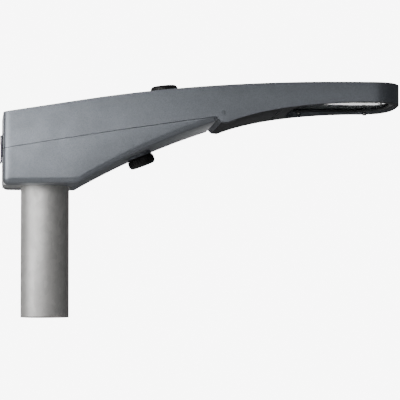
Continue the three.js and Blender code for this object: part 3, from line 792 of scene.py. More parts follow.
def roofSlab(shrink, top, bottom):
    # the part of the panel's outline that lies between two depths below the roof
    span = [x for x in slicesBetween(rearEnd, tipEnd) if 0.2 < x < 0.54]
    upper = [(x, roofAt(x) - top) for x in span]
    lower = [(x, roofAt(x) - bottom) for x in reversed(span)]
    slab = prism(upper + lower, "Y", -beyond / 2, beyond / 2)
    return combine(slab, panelPrism(shrink, 0.3, 0.4), "INTERSECT")


def lidOutline(shrink):
    rear, front = lidShape["rear"] + shrink, lidShape["front"] - shrink
    halves = [halfWidthAt(x) - lidShape["margin"] - shrink for x in (rear, front)]
    return [(rear, -halves[0]), (front, -halves[1]), (front, halves[1]), (rear, halves[0])]


def socketPlace(node):
    # middle of a socket's outer face and the way it points
    joint = next(row for row in frame["joints"] if row["name"] == node)
    return Vector(joint["pos_m"]), Vector(joint["axis"])


def housingBosses():
    columns = []
    top = housing["bossTop"]
    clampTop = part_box("pole_clamp")[1][2]
    for place in boltPlaces:
        foot = (place.x, place.y, clampTop + fitGap)
        columns.append(rod(housing["bossRadius"], foot, (place.x, place.y, top)))
    for x, y in trayCorners:
        columns.append(rod(0.0055, onTray(x, y, 0.0018), onTray(x, y, 0.07)))
    for place in latchPlaces.values():
        columns.append(block(rearEnd + 0.001, -0.0575, place[1] - 0.015, place[1] + 0.015,
                             place[2] - 0.009, place[2] + 0.008))
    inside = lampBlock(rearEnd + 0.001, 0.26, 0.001, 0.001, 0)
    return combine(inside, joinAll(columns), "INTERSECT")


def cutHousingHoles(shell):
    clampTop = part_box("pole_clamp")[1][2]
    holes = []
    for place in boltPlaces:
        foot, top = (place.x, place.y, clampTop - 0.001), (place.x, place.y, 0.308)
        holes.append(rod(boreRadius["clampBolt"], foot, top))
    for x, y in trayCorners:
        holes.append(rod(boreRadius["trayScrew"], onTray(x, y, 0), onTray(x, y, 0.014)))
    cutAway(shell, joinAll(holes))
    for place in screwPlaces:
        cutAway(shell, rod(boreRadius["frameTab"], (place.x, place.y, 0.300), (place.x, place.y, 0.3391)))
        cutAway(shell, rod(boreRadius["frameScrew"], (place.x, place.y, 0.300), (place.x, place.y, 0.347)))
    gripUpper = sum(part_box("grip_screw_upper"), Vector()) / 2
    cutAway(shell, rod(boreRadius["gripScrew"], (-0.080, 0, gripUpper.z), (-0.050, 0, gripUpper.z), 48))
    for name, side in (("left", -1), ("right", 1)):
        low, high = reachY(side, 0.096, 0.128)
        x, z = hingePlace[0], hingePlace[2]
        cutAway(shell, rod(boreRadius["pin"], (x, low, z), (x, high, z), 48))
        low, high = reachY(side, *housing["earSlot"])
        cutAway(shell, block(0.250, 0.294, low, high, 0.290, housing["toeBlock"][2] + 0.001))
        place = latchPlaces[name]
        low, high = place[1] - 0.0103, place[1] + 0.0103
        x, z = place[0], place[2]
        cutAway(shell, rod(boreRadius["latchPocket"], (x, low, z), (x, high, z), 48))
        cutAway(shell, rod(boreRadius["latchPin"], (x, low - 0.004, z), (x, high + 0.004, z)))
    return shell


def darkenUnderside(shell):
    # only the outer underside, in front of the cover
    shell.data.materials.append(extraFinishes["soffit"])
    heel = lampShape["heel"][0]

    def below(face):
        centre = face.calc_center_median()
        return face.normal.z < -0.5 and centre.x > heel and centre.z < floorAt(centre.x) + 0.001
    pick(shell)
    startEditing()
    select("FACE", below)
    shell.active_material_index = 1
    bpy.ops.object.material_slot_assign()
    leaveEditing()
    shell.active_material_index = 0


def upperHousing():
    shell = lampBlock(rearEnd, tipEnd, lowRim=lampShape["headRim"])
    combine(shell, housingRegion(housing["jointGap"]), "INTERSECT")
    cutAway(shell, lampHollows(rearEnd + wall, wall, housing["panelRecess"] + wall))
    combine(shell, housingBosses(), "UNION")
    cutAway(shell, windowPrism(0, 0.3, housing["ledge"]))
    cutAway(shell, windowPrism(-housing["ledgeWidth"], 0.3, housing["ceiling"]))
    x0, x1, halfWidth, z0, z1 = housing["cableWay"]
    cutAway(shell, block(x0, x1, -halfWidth, halfWidth, z0, z1))
    cutAway(shell, roofSlab(-0.0004, -0.005, housing["panelRecess"]))
    holeX, holeRadius = housing["panelLeadHole"]
    cutAway(shell, rod(holeRadius, (holeX, 0, 0.330), (holeX, 0, 0.370)))
    cutAway(shell, prism(lidOutline(0), "Z", 0.290, 0.332))
    place, outward = socketPlace("top_cap_twist")
    cutAway(shell, rod(boreRadius["socket"], place - outward * 0.012, place + outward * 0.012, 64))
    cutHousingHoles(shell)
    mendNormals(shell)
    finishPiece(shell, "upper_housing_shell", "upper_housing", angle=35)
    darkenUnderside(shell)


upperHousing()
print("upper housing made")


# lower cover: tray under the deep end, open round the pole

cover = {
    "slotRadius": 0.043,
    "frontRadius": 0.016,      # the front end is rounded about the hinge pin
    "hollowEnd": 0.253,
    "jointGap": 0.0003,
    "ear": (0.100, 0.106, 0.0065),
    "latchWindow": (0.007, 0.2473, 0.2526),
    "ribTop": 0.006,
    "ribPlaces": (-0.075, -0.025, 0.025, 0.075),
    "bossRadius": 0.0195,      # under the low socket
    "bossHeight": 0.0063,
}


def earPlate(side):
    # arm from the front corner of the cover up to its hinge pin
    inner, outer, radius = cover["ear"]
    x, z = hingePlace[0], hingePlace[2]
    points = [(0.232, 0.295), (0.252, 0.3005)]
    points += arc((x, z), radius, -75, 115, 20)
    points += [(at, heightOn(lampShape["parting"], at) - cover["jointGap"]) for at in (0.246, 0.232)]
    low, high = reachY(side, inner, outer)
    plate = prism(points, "Y", low, high)
    return cutAway(plate, rod(boreRadius["pin"], (x, -beyond, z), (x, beyond, z), 40))


def coverRibs():
    # stiffening ribs cast on the floor of the cover, beside the socket
    ribs = []
    span = (0.053, 0.07, 0.1, 0.13, 0.16, 0.2)
    foot = [(x, floorAt(x) + wall - 0.001) for x in span]
    crest = [(x, floorAt(x) + wall + cover["ribTop"] * (0.4 if x > 0.15 else 1)) for x in reversed(span)]
    for y in cover["ribPlaces"]:
        ribs.append(prism(foot + crest, "Y", y - 0.001, y + 0.001))
    return joinAll(ribs)


def lowerCover():
    shell = lampBlock(rearEnd, 0.30)
    points = partingPoints(-cover["jointGap"])
    front = lampShape["parting"][2][0]
    points += [(front, 0.15), (points[0][0], 0.15)]
    combine(shell, prism(points, "Y", -beyond, beyond), "INTERSECT")
    x, z = hingePlace[0], hingePlace[2]
    cutAway(shell, rod(cover["frontRadius"], (x, -beyond, z), (x, beyond, z), 96))
    cutAway(shell, lampBlock(rearEnd + wall, cover["hollowEnd"], wall, wall, wall))
    combine(shell, coverRibs(), "UNION")
    radius = cover["slotRadius"]
    slot = [(rearEnd - 0.02, -radius)] + arc((0, 0), radius, -90, 90, 40) + [(rearEnd - 0.02, radius)]
    cutAway(shell, prism(slot, "Z", 0.15, 0.33))
    place, outward = socketPlace("low_cap_twist")
    boss = rod(cover["bossRadius"], place - outward * cover["bossHeight"], place + outward * fitGap, 72)
    combine(shell, roundEdges(boss, 0.0006, 3, 50), "UNION")
    cutAway(shell, rod(boreRadius["socket"], place - outward * 0.02, place + outward * 0.012, 64))
    halfWidth, low, high = cover["latchWindow"]
    for side in (-1, 1):
        combine(shell, earPlate(side), "UNION")
        y = side * abs(latchPlaces["left"][1])
        cutAway(shell, block(-0.080, -0.060, y - halfWidth, y + halfWidth, low, high))
    mendNormals(shell)
    return finishPiece(shell, "lower_cover_shell", "lower_cover", angle=35)


lowerCover()
print("lower cover made")


# pole and the casting that grips it

poleShape = {"sides": 128, "wall": 0.0032, "edge": 0.0005}


def polePiece():
    low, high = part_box("pole")
    radius = (high.x - low.x) / 2
    clearSelection()
    bpy.ops.mesh.primitive_cylinder_add(vertices=poleShape["sides"], radius=radius, depth=high.z - low.z,
                                        location=(0, 0, (low.z + high.z) / 2))
    tube = bpy.context.object
    applyPlace(tube)
    bore = rod(radius - poleShape["wall"], (0, 0, -0.01), (0, 0, high.z + 0.01), poleShape["sides"])
    cutAway(tube, bore)
    roundEdges(tube, poleShape["edge"], 3, 50)
    return finishPiece(tube, "pole_tube", "pole", angle=35)


clampShape = {"radius": 0.0423, "rear": -0.0668, "low": 0.2059, "rearTop": 0.2585, "flangeLow": 0.284,
              "stop": 0.286, "bore": 0.03835, "flange": (-0.057, 0.047, 0.066, 0.008)}


def clampPiece():
    shape = clampShape
    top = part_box("pole_clamp")[1][2]

    def collar(rear, low, high):
        radius = shape["radius"]
        outline = [(rear, -radius)] + arc((0, 0), radius, -90, 90, 48) + [(rear, radius)]
        return prism(outline, "Z", low, high)
    casting = collar(shape["rear"], shape["low"], shape["rearTop"])
    combine(casting, collar(-0.057, shape["rearTop"] - 0.001, shape["flangeLow"] + 0.001), "UNION")
    flange = prism(roundedOblong(*shape["flange"]), "Z", shape["flangeLow"], top)
    combine(casting, flange, "UNION")
    cutAway(casting, rod(shape["bore"], (0, 0, 0.2), (0, 0, shape["stop"]), 96))
    cutAway(casting, rod(0.014, (0, 0, shape["stop"] - 0.001), (0, 0, top + 0.001), 48))
    for place in boltPlaces:
        low, high = (place.x, place.y, 0.28), (place.x, place.y, top + 0.001)
        cutAway(casting, rod(boreRadius["clampBolt"], low, high))
    for name in ("upper", "lower"):
        z = sum(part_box(f"grip_screw_{name}"), Vector()).z / 2
        cutAway(casting, rod(boreRadius["gripScrew"], (-0.08, 0, z), (-0.035, 0, z), 40))
        if name == "lower":
            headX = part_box(f"grip_screw_{name}")[0][0]
            cutAway(casting, rod(0.0085, (-0.08, 0, z), (headX + 0.006 + fitGap, 0, z), 48))
    mendNormals(casting)
    roundEdges(casting, 0.0006, 2, 50)
    return finishPiece(casting, "pole_clamp_casting", "pole_clamp", angle=35)


polePiece()
clampPiece()
print("pole and clamp made")


# fasteners, each modelled lying along its own axis and then copied into place

def boltBlank(headRadius, headHeight, shankRadius, length, socketRadius=0, sides=6):
    # head below, from z 0 to headHeight, shank above; socketRadius gives it a hexagon recess
    head = rod(headRadius, (0, 0, 0), (0, 0, headHeight), 48)
    roundEdges(head, headHeight * 0.16, 3, 50)
    if sides == 6:
        hexagon = rod(headRadius, (0, 0, -0.001), (0, 0, headHeight + 0.001), 6)
        combine(head, hexagon, "INTERSECT")
    shank = rod(shankRadius, (0, 0, headHeight - 0.0002), (0, 0, length - shankRadius * 0.25), 24)
    roundEdges(shank, shankRadius * 0.2, 2, 50)
    combine(head, shank, "UNION")
    if socketRadius:
        cutAway(head, rod(socketRadius, (0, 0, -0.001), (0, 0, headHeight * 0.62), 6))
    mendNormals(head)
    return head


def setPiece(piece, origin, along):
    # turns a blank made along Z to point along, and puts its zero at origin
    turn = Vector(along).to_track_quat("Z", "Y").to_matrix().to_4x4()
    piece.data.transform(Matrix.Translation(origin) @ turn)


def fasteners():
    blank = boltBlank(0.0065, 0.006, 0.004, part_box("clamp_bolt_1")[1].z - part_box("clamp_bolt_1")[0].z)
    for index in range(1, 5):
        low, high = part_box(f"clamp_bolt_{index}")
        bolt = copyOf(blank, "bolt")
        setPiece(bolt, ((low.x + high.x) / 2, (low.y + high.y) / 2, low.z), (0, 0, 1))
        finishPiece(bolt, f"clamp_bolt_{index}_turned", f"clamp_bolt_{index}")
    bpy.data.objects.remove(blank, do_unlink=True)
    blank = boltBlank(0.004, 0.0026, 0.002, 0.0159)
    for index, (x, y) in enumerate(trayCorners, 1):
        screw = copyOf(blank, "screw")
        setPiece(screw, onTray(x, y, -0.0029), (-math.sin(trayTilt), 0, math.cos(trayTilt)))
        finishPiece(screw, f"tray_screw_{index}_turned", f"tray_screw_{index}")
    bpy.data.objects.remove(blank, do_unlink=True)
    for index in range(1, 5):
        low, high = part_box(f"frame_screw_{index}")
        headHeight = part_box("glass_frame")[0].z - fitGap - low.z
        screw = boltBlank(0.0032, headHeight, 0.0016, high.z - low.z, 0.0016, sides=0)
        setPiece(screw, ((low.x + high.x) / 2, (low.y + high.y) / 2, low.z), (0, 0, 1))
        finishPiece(screw, f"frame_screw_{index}_turned", f"frame_screw_{index}")
    for name in ("upper", "lower"):
        low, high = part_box(f"grip_screw_{name}")
        screw = boltBlank(0.0075, 0.0036, 0.005, high.x - low.x, 0.0032)
        setPiece(screw, (low.x, 0, (low.z + high.z) / 2), (1, 0, 0))
        finishPiece(screw, f"grip_screw_{name}_turned", f"grip_screw_{name}")
    for name, side in (("left", -1), ("right", 1)):
        low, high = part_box(f"hinge_pin_{name}")
        length = high.y - low.y
        pin = boltBlank(0.0037, 0.0008, 0.003, length, 0.0018, sides=0)
        setPiece(pin, (hingePlace[0], side * max(abs(low.y), abs(high.y)), hingePlace[2]), (0, -side, 0))
        finishPiece(pin, f"hinge_pin_{name}_turned", f"hinge_pin_{name}", finish=finishes["body_paint"])
        place = latchPlaces[name]
        low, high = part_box(f"latch_pin_{name}")
        pin = rod(0.0015, (place[0], low.y, place[2]), (place[0], high.y, place[2]), 32)
        roundEdges(pin, 0.0003, 2, 50)
        finishPiece(pin, f"latch_pin_{name}_turned", f"latch_pin_{name}")


fasteners()
print("fasteners made")


# latches on the rear end

latchShape = {"halfWidth": 0.010, "tongue": 0.006, "knuckle": 0.003}


def latchPiece(name):
    x, y, z = latchPlaces[name]
    outline = [(x, z - 0.0026), (x, z + 0.0008), (-0.0688, z + 0.0008)]
    outline += bow((-0.0694, z + 0.0006), (-0.0698, 0.266), (-0.0696, 0.252), 8)
    outline += bow((-0.0702, 0.2492), (-0.0716, 0.2465), (-0.0713, 0.2456), 4)
    outline += [(-0.0702, 0.2453), (-0.0679, 0.2484), (-0.0652, 0.2484), (-0.0652, 0.2506)]
    outline += [(-0.0674, 0.2506), (-0.0674, z - 0.0042)]
    low, high = y - latchShape["halfWidth"], y + latchShape["halfWidth"]
    blade = prism(outline, "Y", low, high)
    tongue = latchShape["tongue"]
    cutAway(blade, block(-0.0674, -0.060, low - 0.001, y - tongue, 0.240, 0.260))
    cutAway(blade, block(-0.0674, -0.060, y + tongue, high + 0.001, 0.240, 0.260))
    combine(blade, rod(latchShape["knuckle"], (x, low, z), (x, high, z), 40), "UNION")
    cutAway(blade, rod(boreRadius["latchPin"], (x, low - 0.001, z), (x, high + 0.001, z), 32))
    mendNormals(blade)
    roundEdges(blade, 0.00025, 2, 60)
    return finishPiece(blade, f"latch_{name}_blade", f"latch_{name}", angle=35)


for latchName in latchPlaces:
    latchPiece(latchName)
print("latches made")


# twist-on caps over the two sensor sockets

capShape = {
    "profile": [(0.0174, 0.0026), (0.0200, 0.0026), (0.0206, 0.0032), (0.0206, 0.0118), (0.0200, 0.0134),
                (0.0186, 0.0147), (0.0165, 0.0152), (0.0105, 0.0152), (0.0098, 0.0147), (0.0090, 0.0147),
                (0.0084, 0.0156), (0.0, 0.0156), (0.0, 0.0072), (0.0174, 0.0072)],
    "ribs": 30,
    "ribSize": (0.0020, 0.0021, 0.0088),
    "ribAt": 0.0205,
}


def turnedPiece(profile, sides=72):
    # a half outline walked point by point, then spun round Z
    clearSelection()
    bpy.ops.mesh.primitive_plane_add(size=0.01, location=(profile[0][0], 0, profile[0][1]))
    piece = bpy.context.object
    applyPlace(piece)
    startEditing()
    bpy.ops.mesh.select_mode(type="VERT")
    bpy.ops.mesh.merge(type="CENTER")
    closed = profile[0][0] > 0 and profile[-1][0] > 0
    walk = profile + [profile[0]] if closed else profile
    for here, there in zip(walk, walk[1:]):
        bpy.ops.mesh.extrude_vertices_move(
            TRANSFORM_OT_translate={"value": (there[0] - here[0], 0, there[1] - here[1])})
    bpy.ops.mesh.select_all(action="SELECT")
    bpy.ops.mesh.spin(steps=sides, angle=2 * math.pi, center=(0, 0, 0), axis=(0, 0, 1))
    bpy.ops.mesh.select_all(action="SELECT")
    bpy.ops.mesh.remove_doubles(threshold=1e-6)
    bpy.ops.mesh.normals_make_consistent(inside=False)
    leaveEditing()
    return piece


def ribRing(count, size, radius, low):
    # one rounded rib, spun round as separate copies
    along, across, height = size
    rib = block(radius - along / 2, radius + along / 2, -across / 2, across / 2, low, low + height)
    roundEdges(rib, across * 0.28, 2, 50)
    pick(rib)
    startEditing()
    bpy.ops.mesh.spin(steps=count, angle=2 * math.pi, center=(0, 0, 0), axis=(0, 0, 1), dupli=True)
    bpy.ops.mesh.select_all(action="SELECT")
    bpy.ops.mesh.remove_doubles(threshold=1e-6)
    leaveEditing()
    return rib


def capPiece(word, jointName):
    cup = turnedPiece(capShape["profile"], 96)
    ribs = ribRing(capShape["ribs"], capShape["ribSize"], capShape["ribAt"], 0.0029)
    combine(cup, ribs, "UNION")
    arrow = block(-0.0012, 0.0012, -0.0066, 0.0066, 0.0151, 0.0164)
    roundEdges(arrow, 0.0004, 2, 50)
    cutAway(cup, arrow)
    mendNormals(cup)
    place, outward = socketPlace(jointName)
    setPiece(cup, place, outward)
    return finishPiece(cup, f"{word}_cap_moulding", f"{word}_socket_cap", angle=35)


def socketPiece(word, jointName):
    body = turnedPiece([(0, -0.014), (0.0124, -0.014), (0.013, -0.0134), (0.013, 0.0025),
                        (0.0165, 0.0025), (0.0165, 0.0054), (0.0159, 0.006), (0, 0.006)])
    contacts = []
    for quarter in range(4):
        angle = math.radians(90 * quarter)
        x, y = 0.0075 * math.cos(angle), 0.0075 * math.sin(angle)
        contacts.append(rod(0.0022, (x, y, 0.0035), (x, y, 0.007), 24))
    cutAway(body, joinAll(contacts))
    mendNormals(body)
    place, outward = socketPlace(jointName)
    setPiece(body, place, outward)
    finishPiece(body, f"{word}_socket_moulding", f"{word}_socket", angle=35)
    gasket = turnedPiece([(0.0136, 0.0006), (0.0201, 0.0006), (0.0205, 0.0010), (0.0205, 0.0018),
                          (0.0201, 0.0022), (0.0136, 0.0022)])
    setPiece(gasket, place, outward)
    finishPiece(gasket, f"{word}_socket_gasket", f"{word}_socket_seal", angle=35)


for capWord, capJoint in (("top", "top_cap_twist"), ("low", "low_cap_twist")):
    capPiece(capWord, capJoint)
    socketPiece(capWord, capJoint)
print("sockets and caps made")


# window of the lamp head, and the light source behind it

headShape = {
    "frameWidth": 0.007,
    "glassInset": 0.001,
    "tabRadius": 0.0042,
    "lensInset": 0.009,
    "dome": ((0, 0), (0.0022, 0.0001), (0.0042, 0.0006), (0.0058, 0.0014), (0.0070, 0.0024),
             (0.0076, 0.0034)),
    "boardInset": 0.010,
    "ledSize": 0.0035,
    "ledPitch": (0.0275, 0.027),
    "firstLed": 0.420,
}


def ledPlaces():
    # rows of lenses, longer in the middle of the head
    places = []
    stepX, stepY = headShape["ledPitch"]
    for column, reach in enumerate((1, 2, 3, 3, 2)):
        for row in range(-reach, reach):
            places.append((headShape["firstLed"] + stepX * column, (row + 0.5) * stepY))
    return places


def windowRing(outer, inner, low, high):
    return cutAway(windowPrism(outer, low, high), windowPrism(inner, low - 0.001, high + 0.001))


def glassFramePiece():
    low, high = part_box("glass_frame")
    border = windowRing(-0.0004, -headShape["frameWidth"], low.z, high.z)
    for place in screwPlaces:
        tab = rod(headShape["tabRadius"], (place.x, place.y, low.z), (place.x, place.y, high.z), 40)
        combine(border, tab, "UNION")
    for place in screwPlaces:
        cutAway(border, rod(boreRadius["frameScrew"], (place.x, place.y, 0.330), (place.x, place.y, 0.350)))
    mendNormals(border)
    roundEdges(border, 0.0007, 3, 50)
    return finishPiece(border, "glass_frame_casting", "glass_frame", angle=35)


def glassPane():
    low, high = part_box("head_glass")
    pane = windowPrism(-headShape["glassInset"], low.z, high.z)
    roundEdges(pane, 0.0006, 3, 50)
    return finishPiece(pane, "window_pane", "head_glass", angle=35)


def glassSealPiece():
    low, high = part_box("glass_seal")
    gasket = windowRing(-headShape["glassInset"], -housing["ledgeWidth"], low.z, high.z)
    roundEdges(gasket, 0.0004, 2, 50)
    return finishPiece(gasket, "window_gasket", "glass_seal", angle=35)


def lensPiece():
    # a clear plate with one dome over each diode
    low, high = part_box("lens_plate")
    plateLow = high.z - 0.0021
    plate = windowPrism(-headShape["lensInset"], plateLow, high.z)
    roundEdges(plate, 0.0004, 2, 50)
    profile = [(radius, low.z + rise) for radius, rise in headShape["dome"]]
    foot = plateLow + 0.0005
    dome = turnedPiece(profile + [(profile[-1][0], foot), (0, foot)], 28)
    domes = []
    for x, y in ledPlaces():
        twin = copyOf(dome, "dome")
        twin.data.transform(Matrix.Translation((x, y, 0)))
        domes.append(twin)
    bpy.data.objects.remove(dome, do_unlink=True)
    combine(plate, joinAll(domes), "UNION")
    mendNormals(plate)
    return finishPiece(plate, "lens_moulding", "lens_plate", angle=35)


def ledFinish():
    # phosphor under clear silicone
    material = newFinish("phosphor", (0.80, 0.58, 0.09), 0.25, 0.0, Coat_Weight=0.8)
    speckle = spread(material, grain(material, 0.001, 2), 0, 1)
    varyColour(material, speckle, (0.82, 0.62, 0.10), (0.70, 0.47, 0.06))
    return material


def boardPiece():
    low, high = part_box("led_board")
    plate = windowPrism(-headShape["boardInset"], high.z - 0.0016, high.z)
    roundEdges(plate, 0.0003, 2, 50)
    plate.data.materials.clear()
    plate.data.materials.append(finishes["white_board"])
    half = headShape["ledSize"] / 2
    package = block(-half, half, -half, half, low.z + 0.0002, high.z - 0.0015)
    roundEdges(package, 0.0003, 2, 50)
    package.data.materials.append(finishes["white_board"])
    spot = rod(half * 0.78, (0, 0, low.z), (0, 0, low.z + 0.0003), 20)
    spot.data.materials.append(ledFinish())
    joinAll([package, spot])
    diodes = [plate]
    for x, y in ledPlaces():
        twin = copyOf(package, "diode")
        twin.data.transform(Matrix.Translation((x, y, 0)))
        diodes.append(twin)
    bpy.data.objects.remove(package, do_unlink=True)
    board = joinAll(diodes)
    board.name = "led_board_assembly"
    smooth(board, 30)
    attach(board, "lamp")
    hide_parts("led_board")


glassFramePiece()
glassPane()
glassSealPiece()
lensPiece()
boardPiece()
print("window and light source made")


# solar panel sunk into the roof

solar = {
    "thick": 0.003,
    "sink": 0.0006,
    "cellRows": 4,
    "cellColumns": 8,
    "border": 0.009,
    "spacing": 0.0022,
    "cellCorner": 0.0035,
    "cellRise": 0.00025,
    "busbars": 2,
    "busbarWidth": 0.0012,
}


def roofTilt(x):
    return math.atan((roofAt(x + 0.001) - roofAt(x - 0.001)) / 0.002)


def laidOnRoof(piece, x, y, depth):
    # a flat blank made at the origin is tilted to the roof and set at x, y
    place = Matrix.Translation((x, y, roofAt(x) - depth))
    piece.data.transform(place @ Matrix.Rotation(-roofTilt(x), 4, "Y"))
    return piece


def silverFinish():
    material = newFinish("tinned_ribbon", (0.62, 0.63, 0.65), 0.3, 0.9, Coat_Weight=1.0,
                         Coat_Roughness=0.06)
    varyGloss(material, 0.002, 0.24, 0.42)
    return material


def solarPanelPiece():
    sheet = roofSlab(fitGap, solar["sink"] + solar["cellRise"], solar["sink"] + solar["thick"])
    mendNormals(sheet)
    roundEdges(sheet, 0.0003, 2, 50)
    sheet.data.materials.clear()
    sheet.data.materials.append(extraFinishes["backsheet"])
    length = panelShape["front"] - panelShape["rear"] - 2 * solar["border"]
    width = 2 * (panelShape["halfWidth"] - solar["border"])
    pitchX, pitchY = length / solar["cellColumns"], width / solar["cellRows"]
    sizeX, sizeY = pitchX - solar["spacing"], pitchY - solar["spacing"]
    corner = solar["cellCorner"]
    halfX, halfY = sizeX / 2, sizeY / 2
    outline = [(-halfX + corner, -halfY), (halfX - corner, -halfY), (halfX, -halfY + corner),
               (halfX, halfY - corner), (halfX - corner, halfY), (-halfX + corner, halfY),
               (-halfX, halfY - corner), (-halfX, -halfY + corner)]
    cellBlank = prism(outline, "Z", -0.0004, 0)
    cellBlank.data.materials.append(finishes["solar_laminate"])
    halfBar = solar["busbarWidth"] / 2
    ribbon = block(-pitchX / 2, pitchX / 2, -halfBar, halfBar, -0.0001, 0.00012)
    ribbon.data.materials.append(silverFinish())
    pieces = [sheet]
    for column in range(solar["cellColumns"]):
        x = panelShape["rear"] + solar["border"] + pitchX * (column + 0.5)
        for row in range(solar["cellRows"]):
            y = (row + 0.5) * pitchY - width / 2
            pieces.append(laidOnRoof(copyOf(cellBlank, "cell"), x, y, solar["sink"] + 0.00015))
            for bar in range(solar["busbars"]):
                barY = y + sizeY * ((bar + 0.5) / solar["busbars"] - 0.5)
                pieces.append(laidOnRoof(copyOf(ribbon, "ribbon"), x, barY, solar["sink"] + 0.00015))
    bpy.data.objects.remove(cellBlank, do_unlink=True)
    bpy.data.objects.remove(ribbon, do_unlink=True)
    panel = joinAll(pieces)
    panel.name = "solar_laminate_panel"
    smooth(panel, 20)
    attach(panel, "lamp")
    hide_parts("solar_panel")


def neckLidPiece():
    span = [x for x in slicesBetween(rearEnd, tipEnd) if 0.27 < x < 0.39]
    top = [(x, floorAt(x) + lidShape["sink"] + lidShape["thick"]) for x in span]
    bottom = [(x, floorAt(x) + lidShape["sink"]) for x in reversed(span)]
    lid = prism(top + bottom, "Y", -beyond / 2, beyond / 2)
    combine(lid, prism(lidOutline(0.0004), "Z", 0.290, 0.340), "INTERSECT")
    mendNormals(lid)
    roundEdges(lid, 0.0006, 3, 50)
    return finishPiece(lid, "neck_lid_plate", "neck_lid", angle=35, finish=extraFinishes["soffit"])


solarPanelPiece()
neckLidPiece()
print("solar panel and neck lid made")


# gear tray and what stands on it

gear = {
    "cellRadius": 0.016,
    "cellLength": 0.070,
    "cellCap": 0.0011,
    "finPitch": 0.0042,
    "finHeight": 0.0075,
}


def tilted(piece):
    # a piece made in the tray's own frame is set down where the tray is
    piece.data.transform(Matrix.Translation(trayRear) @ Matrix.Rotation(-trayTilt, 4, "Y"))
    return piece


def trayPiece():
    plate = block(0, 0.188, -0.091, 0.091, 0, 0.0015)
    for x, y in trayCorners:
        cutAway(plate, rod(boreRadius["trayScrew"], (x, y, -0.001), (x, y, 0.003)))
    for y in (-0.084, 0.084):
        cutAway(plate, block(0.05, 0.14, y - 0.002, y + 0.002, -0.001, 0.003))
    roundEdges(plate, 0.0003, 2, 50)
    finishPiece(tilted(plate), "gear_tray_plate", "gear_tray", angle=35)


def holderPiece():
    holder = block(0, 0.106, -0.077, 0.077, 0.0018, 0.020)
    cutAway(holder, block(0.002, 0.104, -0.075, 0.075, 0.0034, 0.030))
    roundEdges(holder, 0.0006, 3, 50)
    finishPiece(tilted(holder), "battery_holder_moulding", "battery_holder", angle=35)


def batteryCells():
    radius, length, lip = gear["cellRadius"], gear["cellLength"], gear["cellCap"]
    blank = turnedPiece([(0, 0), (radius - 0.002, 0), (radius - 0.0006, 0.0003), (radius, 0.0012),
                         (radius, length - 0.0032), (radius - 0.0008, length - 0.0026),
                         (radius, length - 0.0020),
                         (radius, length - 0.0012 - lip), (radius - 0.0008, length - lip),
                         (radius - 0.0055, length - lip), (radius - 0.006, length - lip - 0.0006),
                         (0.0045, length - lip - 0.0006), (0.0042, length), (0, length)], 56)
    for column in range(1, 4):
        for word, side in (("left", -1), ("right", 1)):
            low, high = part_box(f"battery_cell_{column}_{word}")
            cell = copyOf(blank, "cell")
            inner = side * min(abs(low.y), abs(high.y))
            setPiece(cell, ((low.x + high.x) / 2, inner, (low.z + high.z) / 2), (0, side, 0))
            node = f"battery_cell_{column}_{word}"
            finishPiece(cell, f"{node}_can", node, angle=35)
    bpy.data.objects.remove(blank, do_unlink=True)


def controllerPiece():
    body = block(0.127, 0.184, -0.042, 0.042, 0.0018, 0.027)
    slots = []
    y = -0.036
    while y < 0.036:
        slots.append(block(0.120, 0.190, y, y + gear["finPitch"] / 2, 0.027 - gear["finHeight"], 0.030))
        y += gear["finPitch"]
    cutAway(body, joinAll(slots))
    roundEdges(body, 0.0004, 2, 50)
    finishPiece(tilted(body), "charge_controller_case", "charge_controller", angle=35)


def terminalPiece():
    body = block(0.130, 0.152, 0.048, 0.076, 0.0018, 0.016)
    for index in range(4):
        y = 0.048 + 0.007 * (index + 0.5)
        cutAway(body, rod(0.0022, (0.136, y, 0.010), (0.136, y, 0.018), 24))
        cutAway(body, rod(0.0018, (0.128, y, 0.007), (0.140, y, 0.007), 20))
        cutAway(body, block(0.143, 0.149, y - 0.0022, y + 0.0022, 0.011, 0.018))
    roundEdges(body, 0.0004, 2, 50)
    finishPiece(tilted(body), "terminal_block_moulding", "terminal_block", angle=35)


def batteryBoardPiece():
    board = block(0.109, 0.123, -0.032, 0.032, 0.0018, 0.0042)
    combine(board, block(0.112, 0.120, -0.020, 0.020, 0.004, 0.009), "UNION")
    roundEdges(board, 0.0003, 2, 50)
    finishPiece(tilted(board), "battery_board_assembly", "battery_board", angle=35)


def junctionBoxPiece():
    low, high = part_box("panel_junction_box")
    box = block(low.x, high.x, low.y, high.y, low.z, high.z)
    roundEdges(box, 0.0015, 3, 50)
    rim = 0.004
    cutAway(box, block(low.x + rim, high.x - rim, low.y + rim, high.y - rim, low.z - 0.001, low.z + 0.0008))
    mendNormals(box)
    finishPiece(box, "junction_box_moulding", "panel_junction_box", angle=35)


trayPiece()
holderPiece()
batteryCells()
controllerPiece()
terminalPiece()
batteryBoardPiece()
junctionBoxPiece()
print("gear tray made")


# pieces whose CAD shape is right as it is

for nodeName in ("cover_seal", "panel_bed", "led_lead", "panel_lead"):
    kept = nodes[nodeName]
    kept.data.materials.clear()
    kept.data.materials.append(finishes[slotOfNode[nodeName]])


# floor, light and camera

studio = {
    "floorHeight": -0.80,
    "aim": (0.245, 0, 0.186),
    "camera": (-0.132, -5.387, -0.143),
    "lens": 308,
    "sensor": 36,
    "paper": (0.86, 0.86, 0.85),
    "skyStrength": 0.08,
    "backdropStrength": 8,    # only the camera sees it
}


